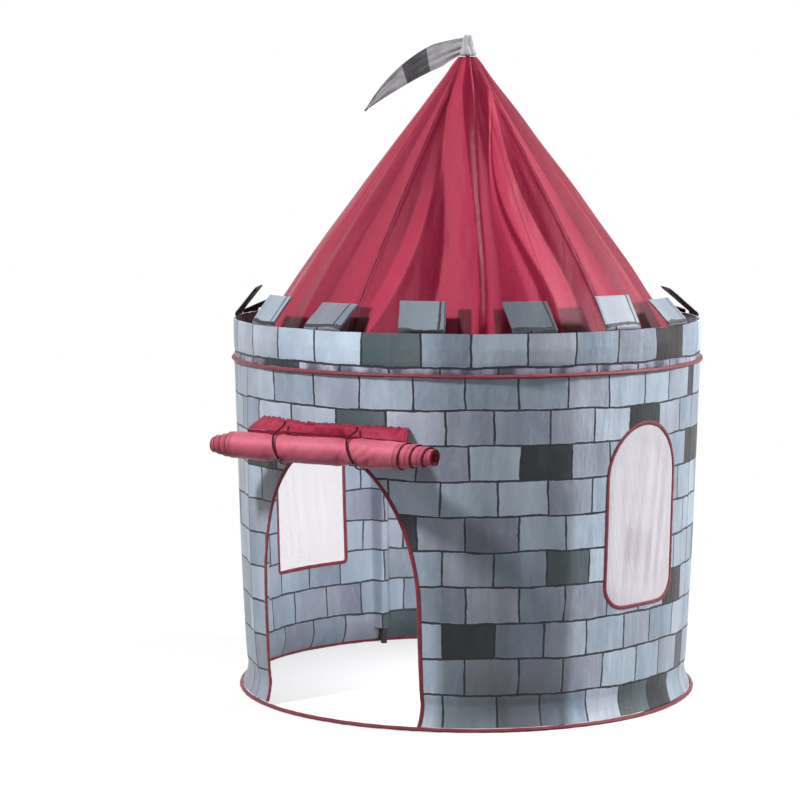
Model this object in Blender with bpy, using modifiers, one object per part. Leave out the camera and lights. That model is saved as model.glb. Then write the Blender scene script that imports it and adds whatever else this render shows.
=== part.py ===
"""Kids' play tent in the shape of a castle tower.

A round cloth wall with an arched door and two net windows hangs between two wire hoops.
Poles inside it carry a cone roof of five gores, with battlements round its foot, and a
pennant turns on the hub at the top. Metres, +Z up, the door towards -Y. The origin is on
the floor under the middle of the whole, so the tent's axis stands AXIS_Y behind it, to make
room for the rolled curtain in front. Angles are in degrees from the door towards +X.
"""

from math import asin, ceil, cos, degrees, exp, pi, radians, sin

import bmesh
import bpy
from mathutils import Vector

# Cloth and fits
CLOTH = 0.0012
CLEARANCE = 0.0003
MERGE = 0.00005
CUT_REACH = 0.09

# Wall: outer radii, drawn in to a waist above the floor
WALL_RADIUS = 0.500
WALL_HEIGHT = 0.714
WAIST_HEIGHT = 0.055
WAIST_TUCK = 0.026
HEM_TUCK = 0.011
WALL_SWELL_SHARE = 0.8
WALL_ROW_SHARES = (0, 0.03, 0.075, 0.17, 0.32, 0.52, 0.76, 1)
WALL_FOLD = 0.0025
FOLD_WAVE_ANGLE = 13
FOLD_SPREAD_ANGLE = 14
SEAM_ANGLES = (-32, 105, 218)
COLUMN_ANGLE = 5

# Piping that cases the wire hoops
PIPING = 0.008
CASING = 0.0015
PIPING_PROUD = 0.0015
HOOP_WIRE = 0.0035
RING_STEPS = 48
WIRE_SIDES = 6
OUTER_SECTION_ANGLES = (135, 112.5, 67.5, 22.5, -22.5, -67.5, -112.5, -135)
INNER_SECTION_ANGLES = (-135, -67.5, 0, 67.5, 135)

# Battlements
BAND_HEIGHT = 0.066
BAND_FOOT = 0.0135
BAND_FOOT_TUCK = 0.001
BAND_BULGE = 0.0015
BAND_THICKNESS = 0.004
MERLON_WIDTH = 0.095
MERLON_FOOT = 0.008
MERLON_FLAP = 0.088
MERLON_THICKNESS = 0.006
MERLON_LEAN_ANGLES = (61, 54, 55, 47, 61, 57, 50, 58, 53, 60, 49, 57, 52, 43, 55)
MERLONS = len(MERLON_LEAN_ANGLES)
MERLON_COLUMNS = 3
MERLON_FLAP_SHARES = (0.08, 0.5, 1)

# Roof
ROOF_TOP = 1.352
ROOF_TOP_RADIUS = 0.0195
ROOF_INSET = 0.0086
ROOF_TUCK = 0.0234
ROOF_TUCK_POWER = 8
ROOF_FOOT_SPACE = 0.0015
GUTTER_HEIGHT = 0.016
ROOF_ROW_SHARES = (0, 0.025, 0.07, 0.14, 0.28, 0.5, 0.75, 1)
ROOF_FOLD = 0.007
ROOF_HANG_POWER = 0.7
GORES = 5
GORE_COLUMNS = 12
ROOF_LINE_ANGLES = (-32, 0, 40, 72, 105, 144, 180, 216, 252, 288)

# Door and windows
DOOR_ANGLE = -1.5
DOOR_HALF_WIDTH = 0.193
DOOR_ARCH = 0.310
DOOR_HEADROOM = 0.154
WINDOW_HALF_WIDTH = 0.107
WINDOW_ARCH = 0.107
WINDOW_HEADROOM = 0.116
WINDOW_SIDES = ("right", "left")
WINDOW_ANGLES = (81.6, 262)
WINDOW_HEIGHTS = (0.373, 0.398)
WINDOW_CORNERS = (0.042, 0.006)
BINDING_WIDTH = 0.008
BINDING_PROUD = 0.0008
NET = 0.0008
ARC_POINTS = 14
CORNER_POINTS = 4

# Door curtain, rolled up over the doorway
HEADER_RISE = 0.046
HEADER_HALF_ANGLE = 22.4
HEADER_DROP = 0.024
CURTAIN_SPACE = 0.0035
ROLL_DIAMETER = 0.062
ROLL_LENGTH = 0.404
ROLL_STEP = 0.073
ROLL_CORE_RADIUS = 0.008
ROLL_TURNS = 3
ROLL_LAYER_SHARE = 0.68
ROLL_TURN_POINTS = 14
ROLL_ROW_SHARES = (0, 0.13, 0.29, 0.46, 0.63, 0.8, 1)
ROLL_DROP = 0.053
TIE_PLACES = (-0.105, 0.075)
TIE_CORD = 0.0024
TIE_CINCH = 0.002
TIE_CINCH_SPREAD = 0.025
TIE_FRONT_ANGLES = range(120, 290, 15)
TIE_BACK_SHARES = ((0.75, 0.85), (1, 0.55))
TOGGLE_LENGTH = 0.016
TOGGLE_DIAMETER = 0.006
TOGGLE_ANGLE = 215
TOGGLE_SIDES = 8

# Poles, rods and moulded fittings
POLE_ANGLES = (-32, 58, 148, 238)
POLE_DIAMETER = 0.0095
POLE_SPACE = 0.003
POLE_BORE = 0.004
POLE_JOINT_SHARE = 0.5
SPIGOT_DIAMETER = 0.0064
SPIGOT_LENGTH = 0.040
ROD_DIAMETER = 0.007
ROD_INSET = 0.016
ROD_POINTS = 9
ROD_POINT_POWER = 1.6
SOCKET_WALL = 0.0025
SOCKET_DEPTH = 0.026
ARM_HEIGHT = 0.0024
ELBOW_DROP = 0.014
HUB_RADIUS = 0.013
HUB_HEIGHT = 0.040
HUB_FLANGE_HEIGHT = 0.020
HUB_FLANGE_SPACE = 0.0008
HUB_SEAT = 0.002
HUB_FLANGE_SIDES = 24
ROD_END_DROP = 0.027
ROUND_SIDES = 12

# Pennant
FLAG_ANGLE = -56.5
FLAG_REACH = 0.219
FLAG_DROP = 0.1385
FLAG_WIDTH = 0.052
FLAG_ROOT_WIDTH = 0.034
FLAG_TIP_WIDTH = 0.004
FLAG_RIPPLE = 0.005
FLAG_BEND_SHARES = (0.55, 0.23)
FLAG_ROW_SHARES = (0, 0.5, 1)
FLAG_COLUMNS = 12
FLAG_OPEN_SHARE = 0.25
FLAG_TAPER_POWER = 2.6
FLAG_WAVES = 1.25
SLEEVE_RADIUS = 0.018
SLEEVE_TOP_RADIUS = 0.008
SLEEVE_HEIGHT = 0.0445
SLEEVE_SPACE = 0.0015
PIN_DIAMETER = 0.009
PIN_END_SPACE = 0.002

# Heights and radii that several pieces share
EAVES_RING_RADIUS = WALL_RADIUS + PIPING_PROUD
BASE_RING_RADIUS = WALL_RADIUS - HEM_TUCK - CLOTH / 2
HOOP_HEIGHTS = {"eaves": WALL_HEIGHT, "base": PIPING / 2}
WALL_FOOT = PIPING + CLEARANCE
WALL_TOP = WALL_HEIGHT - PIPING / 2 - CLEARANCE
BAND_BASE = WALL_HEIGHT + PIPING / 2 + CLEARANCE
BAND_TOP = BAND_BASE + BAND_FOOT + BAND_HEIGHT
ROOF_FOOT = BAND_BASE
ROOF_FOOT_RADIUS = WALL_RADIUS - BAND_FOOT_TUCK - BAND_THICKNESS - ROOF_FOOT_SPACE
DOOR_TOP = WALL_HEIGHT - DOOR_HEADROOM
WINDOW_TOP = WALL_HEIGHT - WINDOW_HEADROOM
HEADER_HEIGHT = DOOR_TOP + HEADER_RISE
CURTAIN_TOP = HEADER_HEIGHT - HEADER_DROP - CLOTH - CLEARANCE
CURTAIN_Y = -WALL_RADIUS - CURTAIN_SPACE
ROLL_HEIGHT = HEADER_HEIGHT - ROLL_DROP
ROLL_Y = CURTAIN_Y - CLOTH - CLEARANCE - ROLL_DIAMETER / 2
TIE_REACH = ROLL_DIAMETER / 2 + TIE_CORD / 2 + CLEARANCE
POLE_RING = WALL_RADIUS - WAIST_TUCK - CLOTH - POLE_SPACE - POLE_DIAMETER / 2
POLE_FOOT = SOCKET_WALL + CLEARANCE
POLE_JOINT = WALL_HEIGHT * POLE_JOINT_SHARE
ELBOW_HEIGHT = WALL_HEIGHT - ELBOW_DROP
POLE_TOP = ELBOW_HEIGHT - SOCKET_WALL * 2
ROD_END = ROOF_TOP - ROD_END_DROP
SLEEVE_BASE = ROOF_TOP + SLEEVE_SPACE
SLEEVE_TOP = SLEEVE_BASE + SLEEVE_HEIGHT
FRONT_REACH = TIE_REACH + TIE_CORD / 2 - ROLL_Y
BACK_REACH = EAVES_RING_RADIUS + PIPING / 2
AXIS_Y = (FRONT_REACH - BACK_REACH) / 2


def material(name, color, roughness, metallic=0.0, alpha=1.0):
    made = bpy.data.materials.new(name)
    made.use_nodes = True
    shader = made.node_tree.nodes["Principled BSDF"]
    shader.inputs["Base Color"].default_value = (*color, 1.0)
    shader.inputs["Roughness"].default_value = roughness
    shader.inputs["Metallic"].default_value = metallic
    shader.inputs["Alpha"].default_value = alpha
    return made


def around(angle, radius, height):
    """A point at an angle from the door, a radius and a height."""
    return Vector((radius * sin(radians(angle)), -radius * cos(radians(angle)), height))


def mix(first, last, share):
    return first + (last - first) * share


def add(name, mesh, look=None, cutter=False):
    """Links a mesh as one named piece of the tent, or as a hidden cutter."""
    piece = bpy.data.objects.new(name, mesh)
    if cutter:
        CUTTERS.objects.link(piece)
        piece.hide_render = True
        piece.display_type = "WIRE"
        return piece
    TENT.objects.link(piece)
    mesh.materials.append(look)
    mesh.shade_smooth()
    mesh.set_sharp_from_angle(angle=radians(40))
    return piece


def baked(piece):
    """The mesh of a piece with its modifiers applied and its loose caps welded."""
    bpy.context.view_layer.update()
    evaluated = piece.evaluated_get(bpy.context.evaluated_depsgraph_get())
    mesh = bpy.data.meshes.new_from_object(evaluated)
    welded = bmesh.new()
    welded.from_mesh(mesh)
    bmesh.ops.remove_doubles(welded, verts=welded.verts, dist=MERGE)
    welded.to_mesh(mesh)
    welded.free()
    return mesh


def combine(piece, other, operation):
    boolean = piece.modifiers.new(operation.title(), "BOOLEAN")
    boolean.operation = operation
    boolean.solver = "EXACT"
    boolean.object = other


def cloth(name, surface, columns, row_shares, thickness, look=None, cutter=False):
    """A sheet whose outer face is surface(across, up), both from 0 to 1, thickened inwards."""
    rows = len(row_shares) - 1
    sheet = bmesh.new()
    bmesh.ops.create_grid(sheet, x_segments=columns, y_segments=rows, size=0.5)
    for vertex in sheet.verts:
        row = round((vertex.co.y + 0.5) * rows)
        vertex.co = surface(vertex.co.x + 0.5, row_shares[row])
    mesh = bpy.data.meshes.new(name)
    sheet.to_mesh(mesh)
    sheet.free()
    piece = add(name, mesh, look, cutter)
    solid = piece.modifiers.new("Thickness", "SOLIDIFY")
    solid.thickness = thickness
    solid.offset = -1
    solid.use_even_offset = True
    return piece


def turned(name, outline, steps, look, angle=0.0):
    """A closed outline of (radius, height), listed down its outer side, turned round Z."""
    mesh = bpy.data.meshes.new(name)
    count = len(outline)
    edges = [(i, (i + 1) % count) for i in range(count)]
    mesh.from_pydata([(radius, 0, height) for radius, height in outline], edges, [])
    piece = add(name, mesh, look)
    piece.rotation_euler.z = radians(angle - 90)
    screw = piece.modifiers.new("Turn", "SCREW")
    screw.steps = steps
    screw.render_steps = steps
    screw.use_merge_vertices = True
    screw.merge_threshold = MERGE
    screw.use_smooth_shade = True
    return piece


def spline(name, points, diameter, resolution, cyclic=False):
    """A tube along the points, as a mesh with its caps welded."""
    curve = bpy.data.curves.new(name, "CURVE")
    curve.dimensions = "3D"
    curve.bevel_depth = diameter / 2
    curve.bevel_resolution = resolution
    curve.use_fill_caps = True
    line = curve.splines.new("POLY")
    line.use_cyclic_u = cyclic
    line.points.add(len(points) - 1)
    for slot, point in zip(line.points, points):
        slot.co = (*point, 1)
    return from_curve(name, curve)


def from_curve(name, curve):
    holder = bpy.data.objects.new(name, curve)
    TENT.objects.link(holder)
    mesh = baked(holder)
    mesh.name = name
    bpy.data.objects.remove(holder)
    return mesh


def rod_between(name, start, end, start_radius, end_radius=None, sides=ROUND_SIDES):
    """A hidden cylinder or cone from one point to another, for joining or boring."""
    axis = end - start
    shape = bmesh.new()
    bmesh.ops.create_cone(
        shape,
        cap_ends=True,
        segments=sides,
        radius1=start_radius,
        radius2=start_radius if end_radius is None else end_radius,
        depth=axis.length,
    )
    mesh = bpy.data.meshes.new(name)
    shape.to_mesh(mesh)
    shape.free()
    piece = add(name, mesh, cutter=True)
    piece.location = (start + end) / 2
    piece.rotation_euler = axis.to_track_quat("Z", "Y").to_euler()
    return piece


def moulded(name, bodies, bores):
    """One solid mesh: the bodies joined, then the bores cut."""
    holder = bodies[0]
    for body in bodies[1:]:
        combine(holder, body, "UNION")
    for bore in bores:
        combine(holder, bore, "DIFFERENCE")
    mesh = baked(holder)
    mesh.transform(holder.matrix_world)
    mesh.name = name
    return mesh


def wall_radius(height):
    """Outer radius of the wall: the hem, the waist, then out to the eaves."""
    waist = WALL_RADIUS - WAIST_TUCK
    if height < WAIST_HEIGHT:
        return waist + (WAIST_TUCK - HEM_TUCK) * (1 - height / WAIST_HEIGHT) ** 2
    share = (height - WAIST_HEIGHT) / (WALL_HEIGHT - WAIST_HEIGHT)
    return waist + WAIST_TUCK * min(share, 1) ** WALL_SWELL_SHARE


def nearest(angle, angles):
    """The angle to the nearest of some angles, round the tent either way."""
    return min(abs((angle - other + 180) % 360 - 180) for other in angles)


def wall_point(angle, height, proud=0.0):
    """The wall's outer face, with upright folds by the poles that fade out at the hoops."""
    near = nearest(angle, POLE_ANGLES)
    hang = sin(pi * height / WALL_HEIGHT)
    wave = cos(2 * pi * near / FOLD_WAVE_ANGLE) * exp(-((near / FOLD_SPREAD_ANGLE) ** 2))
    return around(angle, wall_radius(height) + WALL_FOLD * hang * wave + proud, height)


def wall_sheet(name, first, last, low, high, proud, thickness, look):
    """A stretch of the wall's surface between two angles and two heights."""
    columns = ceil((last - first) / COLUMN_ANGLE)

    def surface(across, up):
        return wall_point(mix(first, last, across), mix(low, high, up), proud)

    return cloth(name, surface, columns, WALL_ROW_SHARES, thickness, look)


def arch(half_width, head, bottom, top, corner=0.0):
    """An outline with an elliptical head and, if asked, rounded lower corners."""
    spring = top - head
    points = [
        (half_width * cos(pi * i / ARC_POINTS), spring + head * sin(pi * i / ARC_POINTS))
        for i in range(ARC_POINTS + 1)
    ]
    if not corner:
        return points + [(-half_width, bottom), (half_width, bottom)]
    for side, first in ((-1, 180), (1, 270)):
        for i in range(CORNER_POINTS + 1):
            turn = radians(first + 90 * i / CORNER_POINTS)
            centre = side * (half_width - corner)
            points.append((centre + corner * cos(turn), bottom + corner + corner * sin(turn)))
    return points


def arch_cutter(name, outline, angle):
    """A prism of an outline, through the wall at an angle."""
    curve = bpy.data.curves.new(name, "CURVE")
    curve.dimensions = "2D"
    curve.fill_mode = "BOTH"
    curve.extrude = CUT_REACH
    line = curve.splines.new("POLY")
    line.use_cyclic_u = True
    line.points.add(len(outline) - 1)
    for slot, point in zip(line.points, outline):
        slot.co = (*point, 0, 1)
    piece = add(name, from_curve(name, curve), cutter=True)
    piece.location = around(angle, WALL_RADIUS, 0)
    piece.rotation_euler = (radians(90), 0, radians(angle))
    return piece


def opening(name, angle, half_width, head, bottom, top, corner):
    """The three cutters of an opening: its clear space, its binding and the wall round that."""
    cutters = {}
    for role, margin in (
        ("net", -CLEARANCE),
        ("clear", 0),
        ("binding", BINDING_WIDTH),
        ("wall", BINDING_WIDTH + CLEARANCE),
    ):
        outline = arch(
            half_width + margin, head + margin, bottom - margin, top + margin, corner and corner + margin
        )
        cutters[role] = arch_cutter(f"{name}_{role}_cutter", outline, angle)
    return cutters


def bound_sheet(name, angle, half_width, top, bottom, proud, thickness, look):
    """Wall surface a little wider and taller than an opening, to be trimmed by its cutters."""
    spread = degrees(asin((half_width + BINDING_WIDTH * 2) / WALL_RADIUS))
    high = min(top + BINDING_WIDTH * 2, WALL_TOP)
    return wall_sheet(name, angle - spread, angle + spread, bottom, high, proud, thickness, look)


def wall_panels(openings):
    seam = degrees(CLEARANCE / WALL_RADIUS)
    names = ("wall_front", "wall_back", "wall_left")
    ends = SEAM_ANGLES[1:] + (SEAM_ANGLES[0] + 360,)
    for name, first, last in zip(names, SEAM_ANGLES, ends):
        panel = wall_sheet(
            name, first + seam, last - seam, WALL_FOOT, WALL_TOP, 0, CLOTH, LOOKS["brick"]
        )
        for angle, cutters in openings.items():
            if first < angle < last:
                combine(panel, cutters["wall"], "DIFFERENCE")


def bindings_and_nets(door, windows):
    proud_cloth = CLOTH + 2 * BINDING_PROUD
    piece = bound_sheet(
        "door_binding", DOOR_ANGLE, DOOR_HALF_WIDTH, DOOR_TOP, WALL_FOOT, BINDING_PROUD, proud_cloth,
        LOOKS["piping"],
    )
    combine(piece, door["binding"], "INTERSECT")
    combine(piece, door["clear"], "DIFFERENCE")
    bottom = WINDOW_TOP - max(WINDOW_HEIGHTS) - BINDING_WIDTH * 2
    for side, angle, cutters in zip(WINDOW_SIDES, WINDOW_ANGLES, windows):
        piece = bound_sheet(
            f"window_binding_{side}", angle, WINDOW_HALF_WIDTH, WINDOW_TOP, bottom,
            BINDING_PROUD, proud_cloth, LOOKS["piping"],
        )
        combine(piece, cutters["binding"], "INTERSECT")
        combine(piece, cutters["clear"], "DIFFERENCE")
        net = bound_sheet(
            f"window_net_{side}", angle, WINDOW_HALF_WIDTH, WINDOW_TOP, bottom,
            (NET - CLOTH) / 2, NET, LOOKS["net"],
        )
        combine(net, cutters["net"], "INTERSECT")


def section(centre_radius, centre_height, radius, angles):
    return [
        (centre_radius + radius * cos(radians(a)), centre_height + radius * sin(radians(a)))
        for a in angles
    ]


def hoops_and_piping():
    """Each hoop lies in a casing that is open on its inner side, flat above and below."""
    flat = cos(radians(22.5))
    rings = {"eaves": EAVES_RING_RADIUS, "base": BASE_RING_RADIUS}
    wire_angles = [60 - 360 * i / WIRE_SIDES for i in range(WIRE_SIDES)]
    for place, ring in rings.items():
        height = HOOP_HEIGHTS[place]
        casing = section(ring, height, PIPING / 2 / flat, OUTER_SECTION_ANGLES)
        casing += section(ring, height, PIPING / 2 - CASING, INNER_SECTION_ANGLES)
        wire = section(ring, height, HOOP_WIRE / 2, wire_angles)
        turned(f"{place}_piping", casing, RING_STEPS, LOOKS["piping"], POLE_ANGLES[0])
        turned(f"{place}_hoop", wire, RING_STEPS, LOOKS["steel"], POLE_ANGLES[0])


def battlement_band():
    """The stiff collar above the eaves: a tucked foot, then one course of brick."""
    waist = WALL_RADIUS - BAND_FOOT_TUCK
    outer = [
        (WALL_RADIUS, BAND_TOP),
        (WALL_RADIUS + BAND_BULGE, mix(BAND_BASE + BAND_FOOT, BAND_TOP, 0.5)),
        (WALL_RADIUS, BAND_BASE + BAND_FOOT),
        (waist, BAND_BASE),
    ]
    inner = [(radius - BAND_THICKNESS, height) for radius, height in reversed(outer)]
    turned("battlement_band", outer + inner, RING_STEPS, LOOKS["brick"], POLE_ANGLES[0])


def merlon(index):
    """A stiff flap that stands on the band, then leans in over the roof."""
    angle = 360 * index / MERLONS
    lean = radians(MERLON_LEAN_ANGLES[index])
    length = MERLON_FOOT + MERLON_FLAP
    foot_share = MERLON_FOOT / length
    shares = (0, foot_share) + tuple(mix(foot_share, 1, s) for s in MERLON_FLAP_SHARES)
    outward = around(angle, 1, 0)
    along = around(angle + 90, 1, 0)

    def surface(across, up):
        side = (across - 0.5) * MERLON_WIDTH
        flap = max(up * length - MERLON_FOOT, 0)
        radius = WALL_RADIUS - side * side / (2 * WALL_RADIUS) - flap * sin(lean)
        height = BAND_TOP + CLEARANCE + min(up * length, MERLON_FOOT) + flap * cos(lean)
        return outward * radius + along * side + Vector((0, 0, height))

    name = f"merlon_{index:02d}"
    cloth(name, surface, MERLON_COLUMNS, shares, MERLON_THICKNESS, LOOKS["brick"])


def roof_radius(height, flared=True):
    """A straight cone, drawn in near the eaves, with a flare that is sewn to the band."""
    share = (height - ROOF_FOOT) / (ROOF_TOP - ROOF_FOOT)
    cone = mix(WALL_RADIUS - ROOF_INSET, ROOF_TOP_RADIUS, share)
    drawn = cone - ROOF_TUCK * max(1 - share, 0) ** ROOF_TUCK_POWER
    if flared and height < ROOF_FOOT + GUTTER_HEIGHT:
        return mix(ROOF_FOOT_RADIUS, drawn, (height - ROOF_FOOT) / GUTTER_HEIGHT)
    return drawn


def roof_gores():
    """Five gores, tight along the seams and poles and slack between them."""
    widest = 360 / GORES / 4

    def surface_from(first):
        def surface(across, up):
            height = mix(ROOF_FOOT, ROOF_TOP, up)
            radius = roof_radius(height)
            seam = degrees(CLEARANCE / radius)
            angle = first + mix(seam, 360 / GORES - seam, across)
            slack = min(nearest(angle, ROOF_LINE_ANGLES) / widest, 1)
            hang = sin(pi * up) ** ROOF_HANG_POWER if up < 1 else 0
            return around(angle, radius - ROOF_FOLD * hang * slack, height)

        return surface

    for index in range(GORES):
        surface = surface_from(360 * index / GORES)
        cloth(f"roof_gore_{index + 1}", surface, GORE_COLUMNS, ROOF_ROW_SHARES, CLOTH, LOOKS["roof"])


def door_header():
    """The strip between the seam on the wall and the top of the curtain."""
    low = HEADER_HEIGHT - HEADER_DROP
    half = WALL_RADIUS * sin(radians(HEADER_HALF_ANGLE))

    def surface(across, up):
        side = (across - 0.5) * 2
        seam = wall_point(degrees(asin(half * side / WALL_RADIUS)), HEADER_HEIGHT, CLEARANCE + CLOTH)
        edge = Vector((half * side, CURTAIN_Y - CLOTH, low))
        return mix(edge, seam, up)

    cloth("door_header", surface, 12, (0, 0.5, 1), CLOTH, LOOKS["roof"])
    return half


def door_curtain(half):
    """What shows of the curtain: from the header down behind the roll."""

    def surface(across, up):
        x = (across - 0.5) * 2 * half
        return Vector((x, CURTAIN_Y - CLOTH, mix(ROLL_HEIGHT, CURTAIN_TOP, up)))

    cloth("door_curtain", surface, 8, (0, 1), CLOTH, LOOKS["roof"])


def door_roll():
    """The rolled curtain: a spiral sheet, wider inside, so that the outermost turn steps in at both ends."""
    layer = (ROLL_DIAMETER / 2 - ROLL_CORE_RADIUS) / ROLL_TURNS
    half = ROLL_LENGTH / 2

    def surface(around_share, along):
        turn = ROLL_TURNS * around_share
        x = (along - 0.5) * 2 * (half + ROLL_STEP * min(ROLL_TURNS - turn, 1))
        cinch = max(exp(-(((x - place) / TIE_CINCH_SPREAD) ** 2)) for place in TIE_PLACES)
        radius = ROLL_CORE_RADIUS + layer * turn - TIE_CINCH * cinch * around_share
        swing = 2 * pi * (turn - ROLL_TURNS)
        return Vector((x, ROLL_Y + radius * cos(swing), ROLL_HEIGHT + radius * sin(swing)))

    columns = ROLL_TURN_POINTS * ROLL_TURNS
    thickness = layer * ROLL_LAYER_SHARE
    cloth("door_roll", surface, columns, ROLL_ROW_SHARES, thickness, LOOKS["roof"])


def door_tie(index, x):
    """An elastic cord from the seam over the roll's front, under it and up behind the curtain."""
    back_y = CURTAIN_Y + CLEARANCE + TIE_CORD / 2
    points = [Vector((x, CURTAIN_Y - CLOTH - CLEARANCE - TIE_CORD, HEADER_HEIGHT - TIE_CORD))]
    for turn in TIE_FRONT_ANGLES:
        swing = radians(turn)
        points.append(Vector((x, ROLL_Y + TIE_REACH * cos(swing), ROLL_HEIGHT + TIE_REACH * sin(swing))))
    for back, low in TIE_BACK_SHARES:
        points.append(Vector((x, mix(ROLL_Y, back_y, back), ROLL_HEIGHT - TIE_REACH * low)))
    points.append(Vector((x, back_y, CURTAIN_TOP - TIE_CORD)))
    cord = add(f"door_tie_{index}", spline(f"door_tie_{index}", points, TIE_CORD, 1), LOOKS["tie"])
    swing = radians(TOGGLE_ANGLE)
    centre_reach = TIE_REACH + TOGGLE_DIAMETER / 2
    centre = Vector((x, ROLL_Y + centre_reach * cos(swing), ROLL_HEIGHT + centre_reach * sin(swing)))
    half = Vector((TOGGLE_LENGTH / 2, 0, 0))
    toggle = rod_between("toggle", centre - half, centre + half, TOGGLE_DIAMETER / 2, sides=TOGGLE_SIDES)
    combine(cord, toggle, "UNION")


def wall_pole(index, angle):
    """A pole in two tubes: the lower one has a spigot that fits in the upper one."""
    pole = POLE_DIAMETER / 2
    spigot = SPIGOT_DIAMETER / 2
    spigot_top = POLE_JOINT + SPIGOT_LENGTH
    lower = [
        (spigot, spigot_top),
        (spigot, POLE_JOINT),
        (pole, POLE_JOINT),
        (pole, POLE_FOOT),
        (POLE_BORE / 2, POLE_FOOT),
        (POLE_BORE / 2, spigot_top),
    ]
    bottom = POLE_JOINT + CLEARANCE
    bore = spigot + CLEARANCE
    upper = [(pole, POLE_TOP), (pole, bottom), (bore, bottom), (bore, POLE_TOP)]
    for name, outline in (("lower", lower), ("upper", upper)):
        piece = turned(f"wall_pole_{name}_{index}", outline, ROUND_SIDES, LOOKS["pole"], angle)
        piece.location = around(angle, POLE_RING, 0)


def rod_path():
    """The axis of a roof rod at angle 0: out of the elbow, then along under the roof."""
    elbow = around(0, POLE_RING, ELBOW_HEIGHT)
    first = ROOF_FOOT + SOCKET_DEPTH / 2
    heights = [mix(first, ROD_END, (i / (ROD_POINTS - 1)) ** ROD_POINT_POWER) for i in range(ROD_POINTS)]
    path = [around(0, roof_radius(h, flared=False) - ROD_INSET, h) for h in heights]
    out = (path[0] - elbow).normalized()
    return elbow, out, [elbow + out * (SOCKET_WALL * 2 + CLEARANCE)] + path


def roof_rods(path):
    mesh = spline("roof_rod", path, ROD_DIAMETER, 1)
    mesh.materials.append(LOOKS["pole"])
    for index, angle in enumerate(POLE_ANGLES, 1):
        piece = bpy.data.objects.new(f"roof_rod_{index}", mesh)
        TENT.objects.link(piece)
        piece.rotation_euler.z = radians(angle)
    mesh.shade_smooth()


def placed_round(name, mesh, look):
    """A copy of a fitting at each pole."""
    for index, angle in enumerate(POLE_ANGLES, 1):
        piece = add(f"{name}_{index}", mesh if index == 1 else mesh.copy(), look)
        piece.rotation_euler.z = radians(angle)


def pole_feet():
    """A cup for each pole, with an arm that reaches the base hoop."""
    cup = POLE_DIAMETER / 2 + SOCKET_WALL
    foot = around(0, POLE_RING, 0)
    floor = around(0, POLE_RING, SOCKET_WALL)
    top = around(0, POLE_RING, SOCKET_WALL + SOCKET_DEPTH)
    hoop = BASE_RING_RADIUS - HOOP_WIRE / 2 - CLEARANCE
    arm_height = HOOP_HEIGHTS["base"]
    bodies = [
        rod_between("foot_cup", foot, top, cup),
        rod_between(
            "foot_arm", around(0, POLE_RING, arm_height), around(0, hoop, arm_height), ARM_HEIGHT / 2
        ),
    ]
    over = Vector((0, 0, SOCKET_WALL))
    bores = [rod_between("foot_bore", floor, top + over, POLE_DIAMETER / 2 + CLEARANCE)]
    placed_round("pole_foot", moulded("pole_foot", bodies, bores), LOOKS["fitting"])


def eaves_elbows(elbow, out):
    """A bent socket from each pole to its roof rod, with an arm that reaches the eaves hoop."""
    cup = POLE_DIAMETER / 2 + SOCKET_WALL
    sleeve = ROD_DIAMETER / 2 + SOCKET_WALL
    low = elbow - Vector((0, 0, SOCKET_DEPTH + SOCKET_WALL * 2))
    high = elbow + out * (SOCKET_DEPTH + SOCKET_WALL * 2)
    hoop = EAVES_RING_RADIUS - HOOP_WIRE / 2 - CLEARANCE
    arm_height = HOOP_HEIGHTS["eaves"]
    arm_root = elbow + out * ((arm_height - elbow.z) / out.z)
    bodies = [
        rod_between("elbow_low", low, elbow + Vector((0, 0, SOCKET_WALL)), cup),
        rod_between("elbow_high", elbow, high, sleeve),
        rod_between("elbow_arm", arm_root, around(0, hoop, arm_height), ARM_HEIGHT / 2),
    ]
    over = Vector((0, 0, SOCKET_WALL))
    pole_bore = POLE_DIAMETER / 2 + CLEARANCE
    rod_bore = ROD_DIAMETER / 2 + CLEARANCE
    pole_top = around(0, POLE_RING, POLE_TOP + CLEARANCE)
    bores = [
        rod_between("elbow_low_bore", low - over, pole_top, pole_bore),
        rod_between("elbow_high_bore", elbow + out * SOCKET_WALL * 2, high + out * SOCKET_WALL, rod_bore),
    ]
    placed_round("eaves_elbow", moulded("eaves_elbow", bodies, bores), LOOKS["fitting"])


def apex_hub(path):
    """The moulded top: a flange under the roof, four rod sockets and the pennant's pin."""
    end, before = path[-1], path[-2]
    down = (before - end).normalized()
    top = around(0, 0, ROOF_TOP - HUB_SEAT)
    flange_low = ROOF_TOP - HUB_FLANGE_HEIGHT
    slope = (roof_radius(flange_low) - roof_radius(top.z)) / (top.z - flange_low)
    cloth_inset = CLOTH * (1 + slope**2) ** 0.5 + HUB_FLANGE_SPACE
    pin_top = around(0, 0, SLEEVE_TOP - PIN_END_SPACE)
    bodies = [
        rod_between("hub_body", top - Vector((0, 0, HUB_HEIGHT)), top, HUB_RADIUS),
        rod_between(
            "hub_flange", around(0, 0, flange_low), top,
            roof_radius(flange_low) - cloth_inset, roof_radius(top.z) - cloth_inset, sides=HUB_FLANGE_SIDES,
        ),
        rod_between("hub_pin", around(0, 0, flange_low), pin_top, PIN_DIAMETER / 2),
    ]
    bores = []
    for index, angle in enumerate(POLE_ANGLES):
        inner, mouth = end - down * SOCKET_WALL * 2, end + down * SOCKET_DEPTH
        bore_end = end - down * CLEARANCE
        spots = [turned_point(p, angle) for p in (inner, mouth, bore_end, mouth + down * SOCKET_WALL)]
        bodies.append(
            rod_between(f"hub_socket_{index}", spots[0], spots[1], ROD_DIAMETER / 2 + SOCKET_WALL)
        )
        bores.append(
            rod_between(f"hub_bore_{index}", spots[2], spots[3], ROD_DIAMETER / 2 + CLEARANCE)
        )
    add("apex_hub", moulded("apex_hub", bodies, bores), LOOKS["fitting"])


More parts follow.
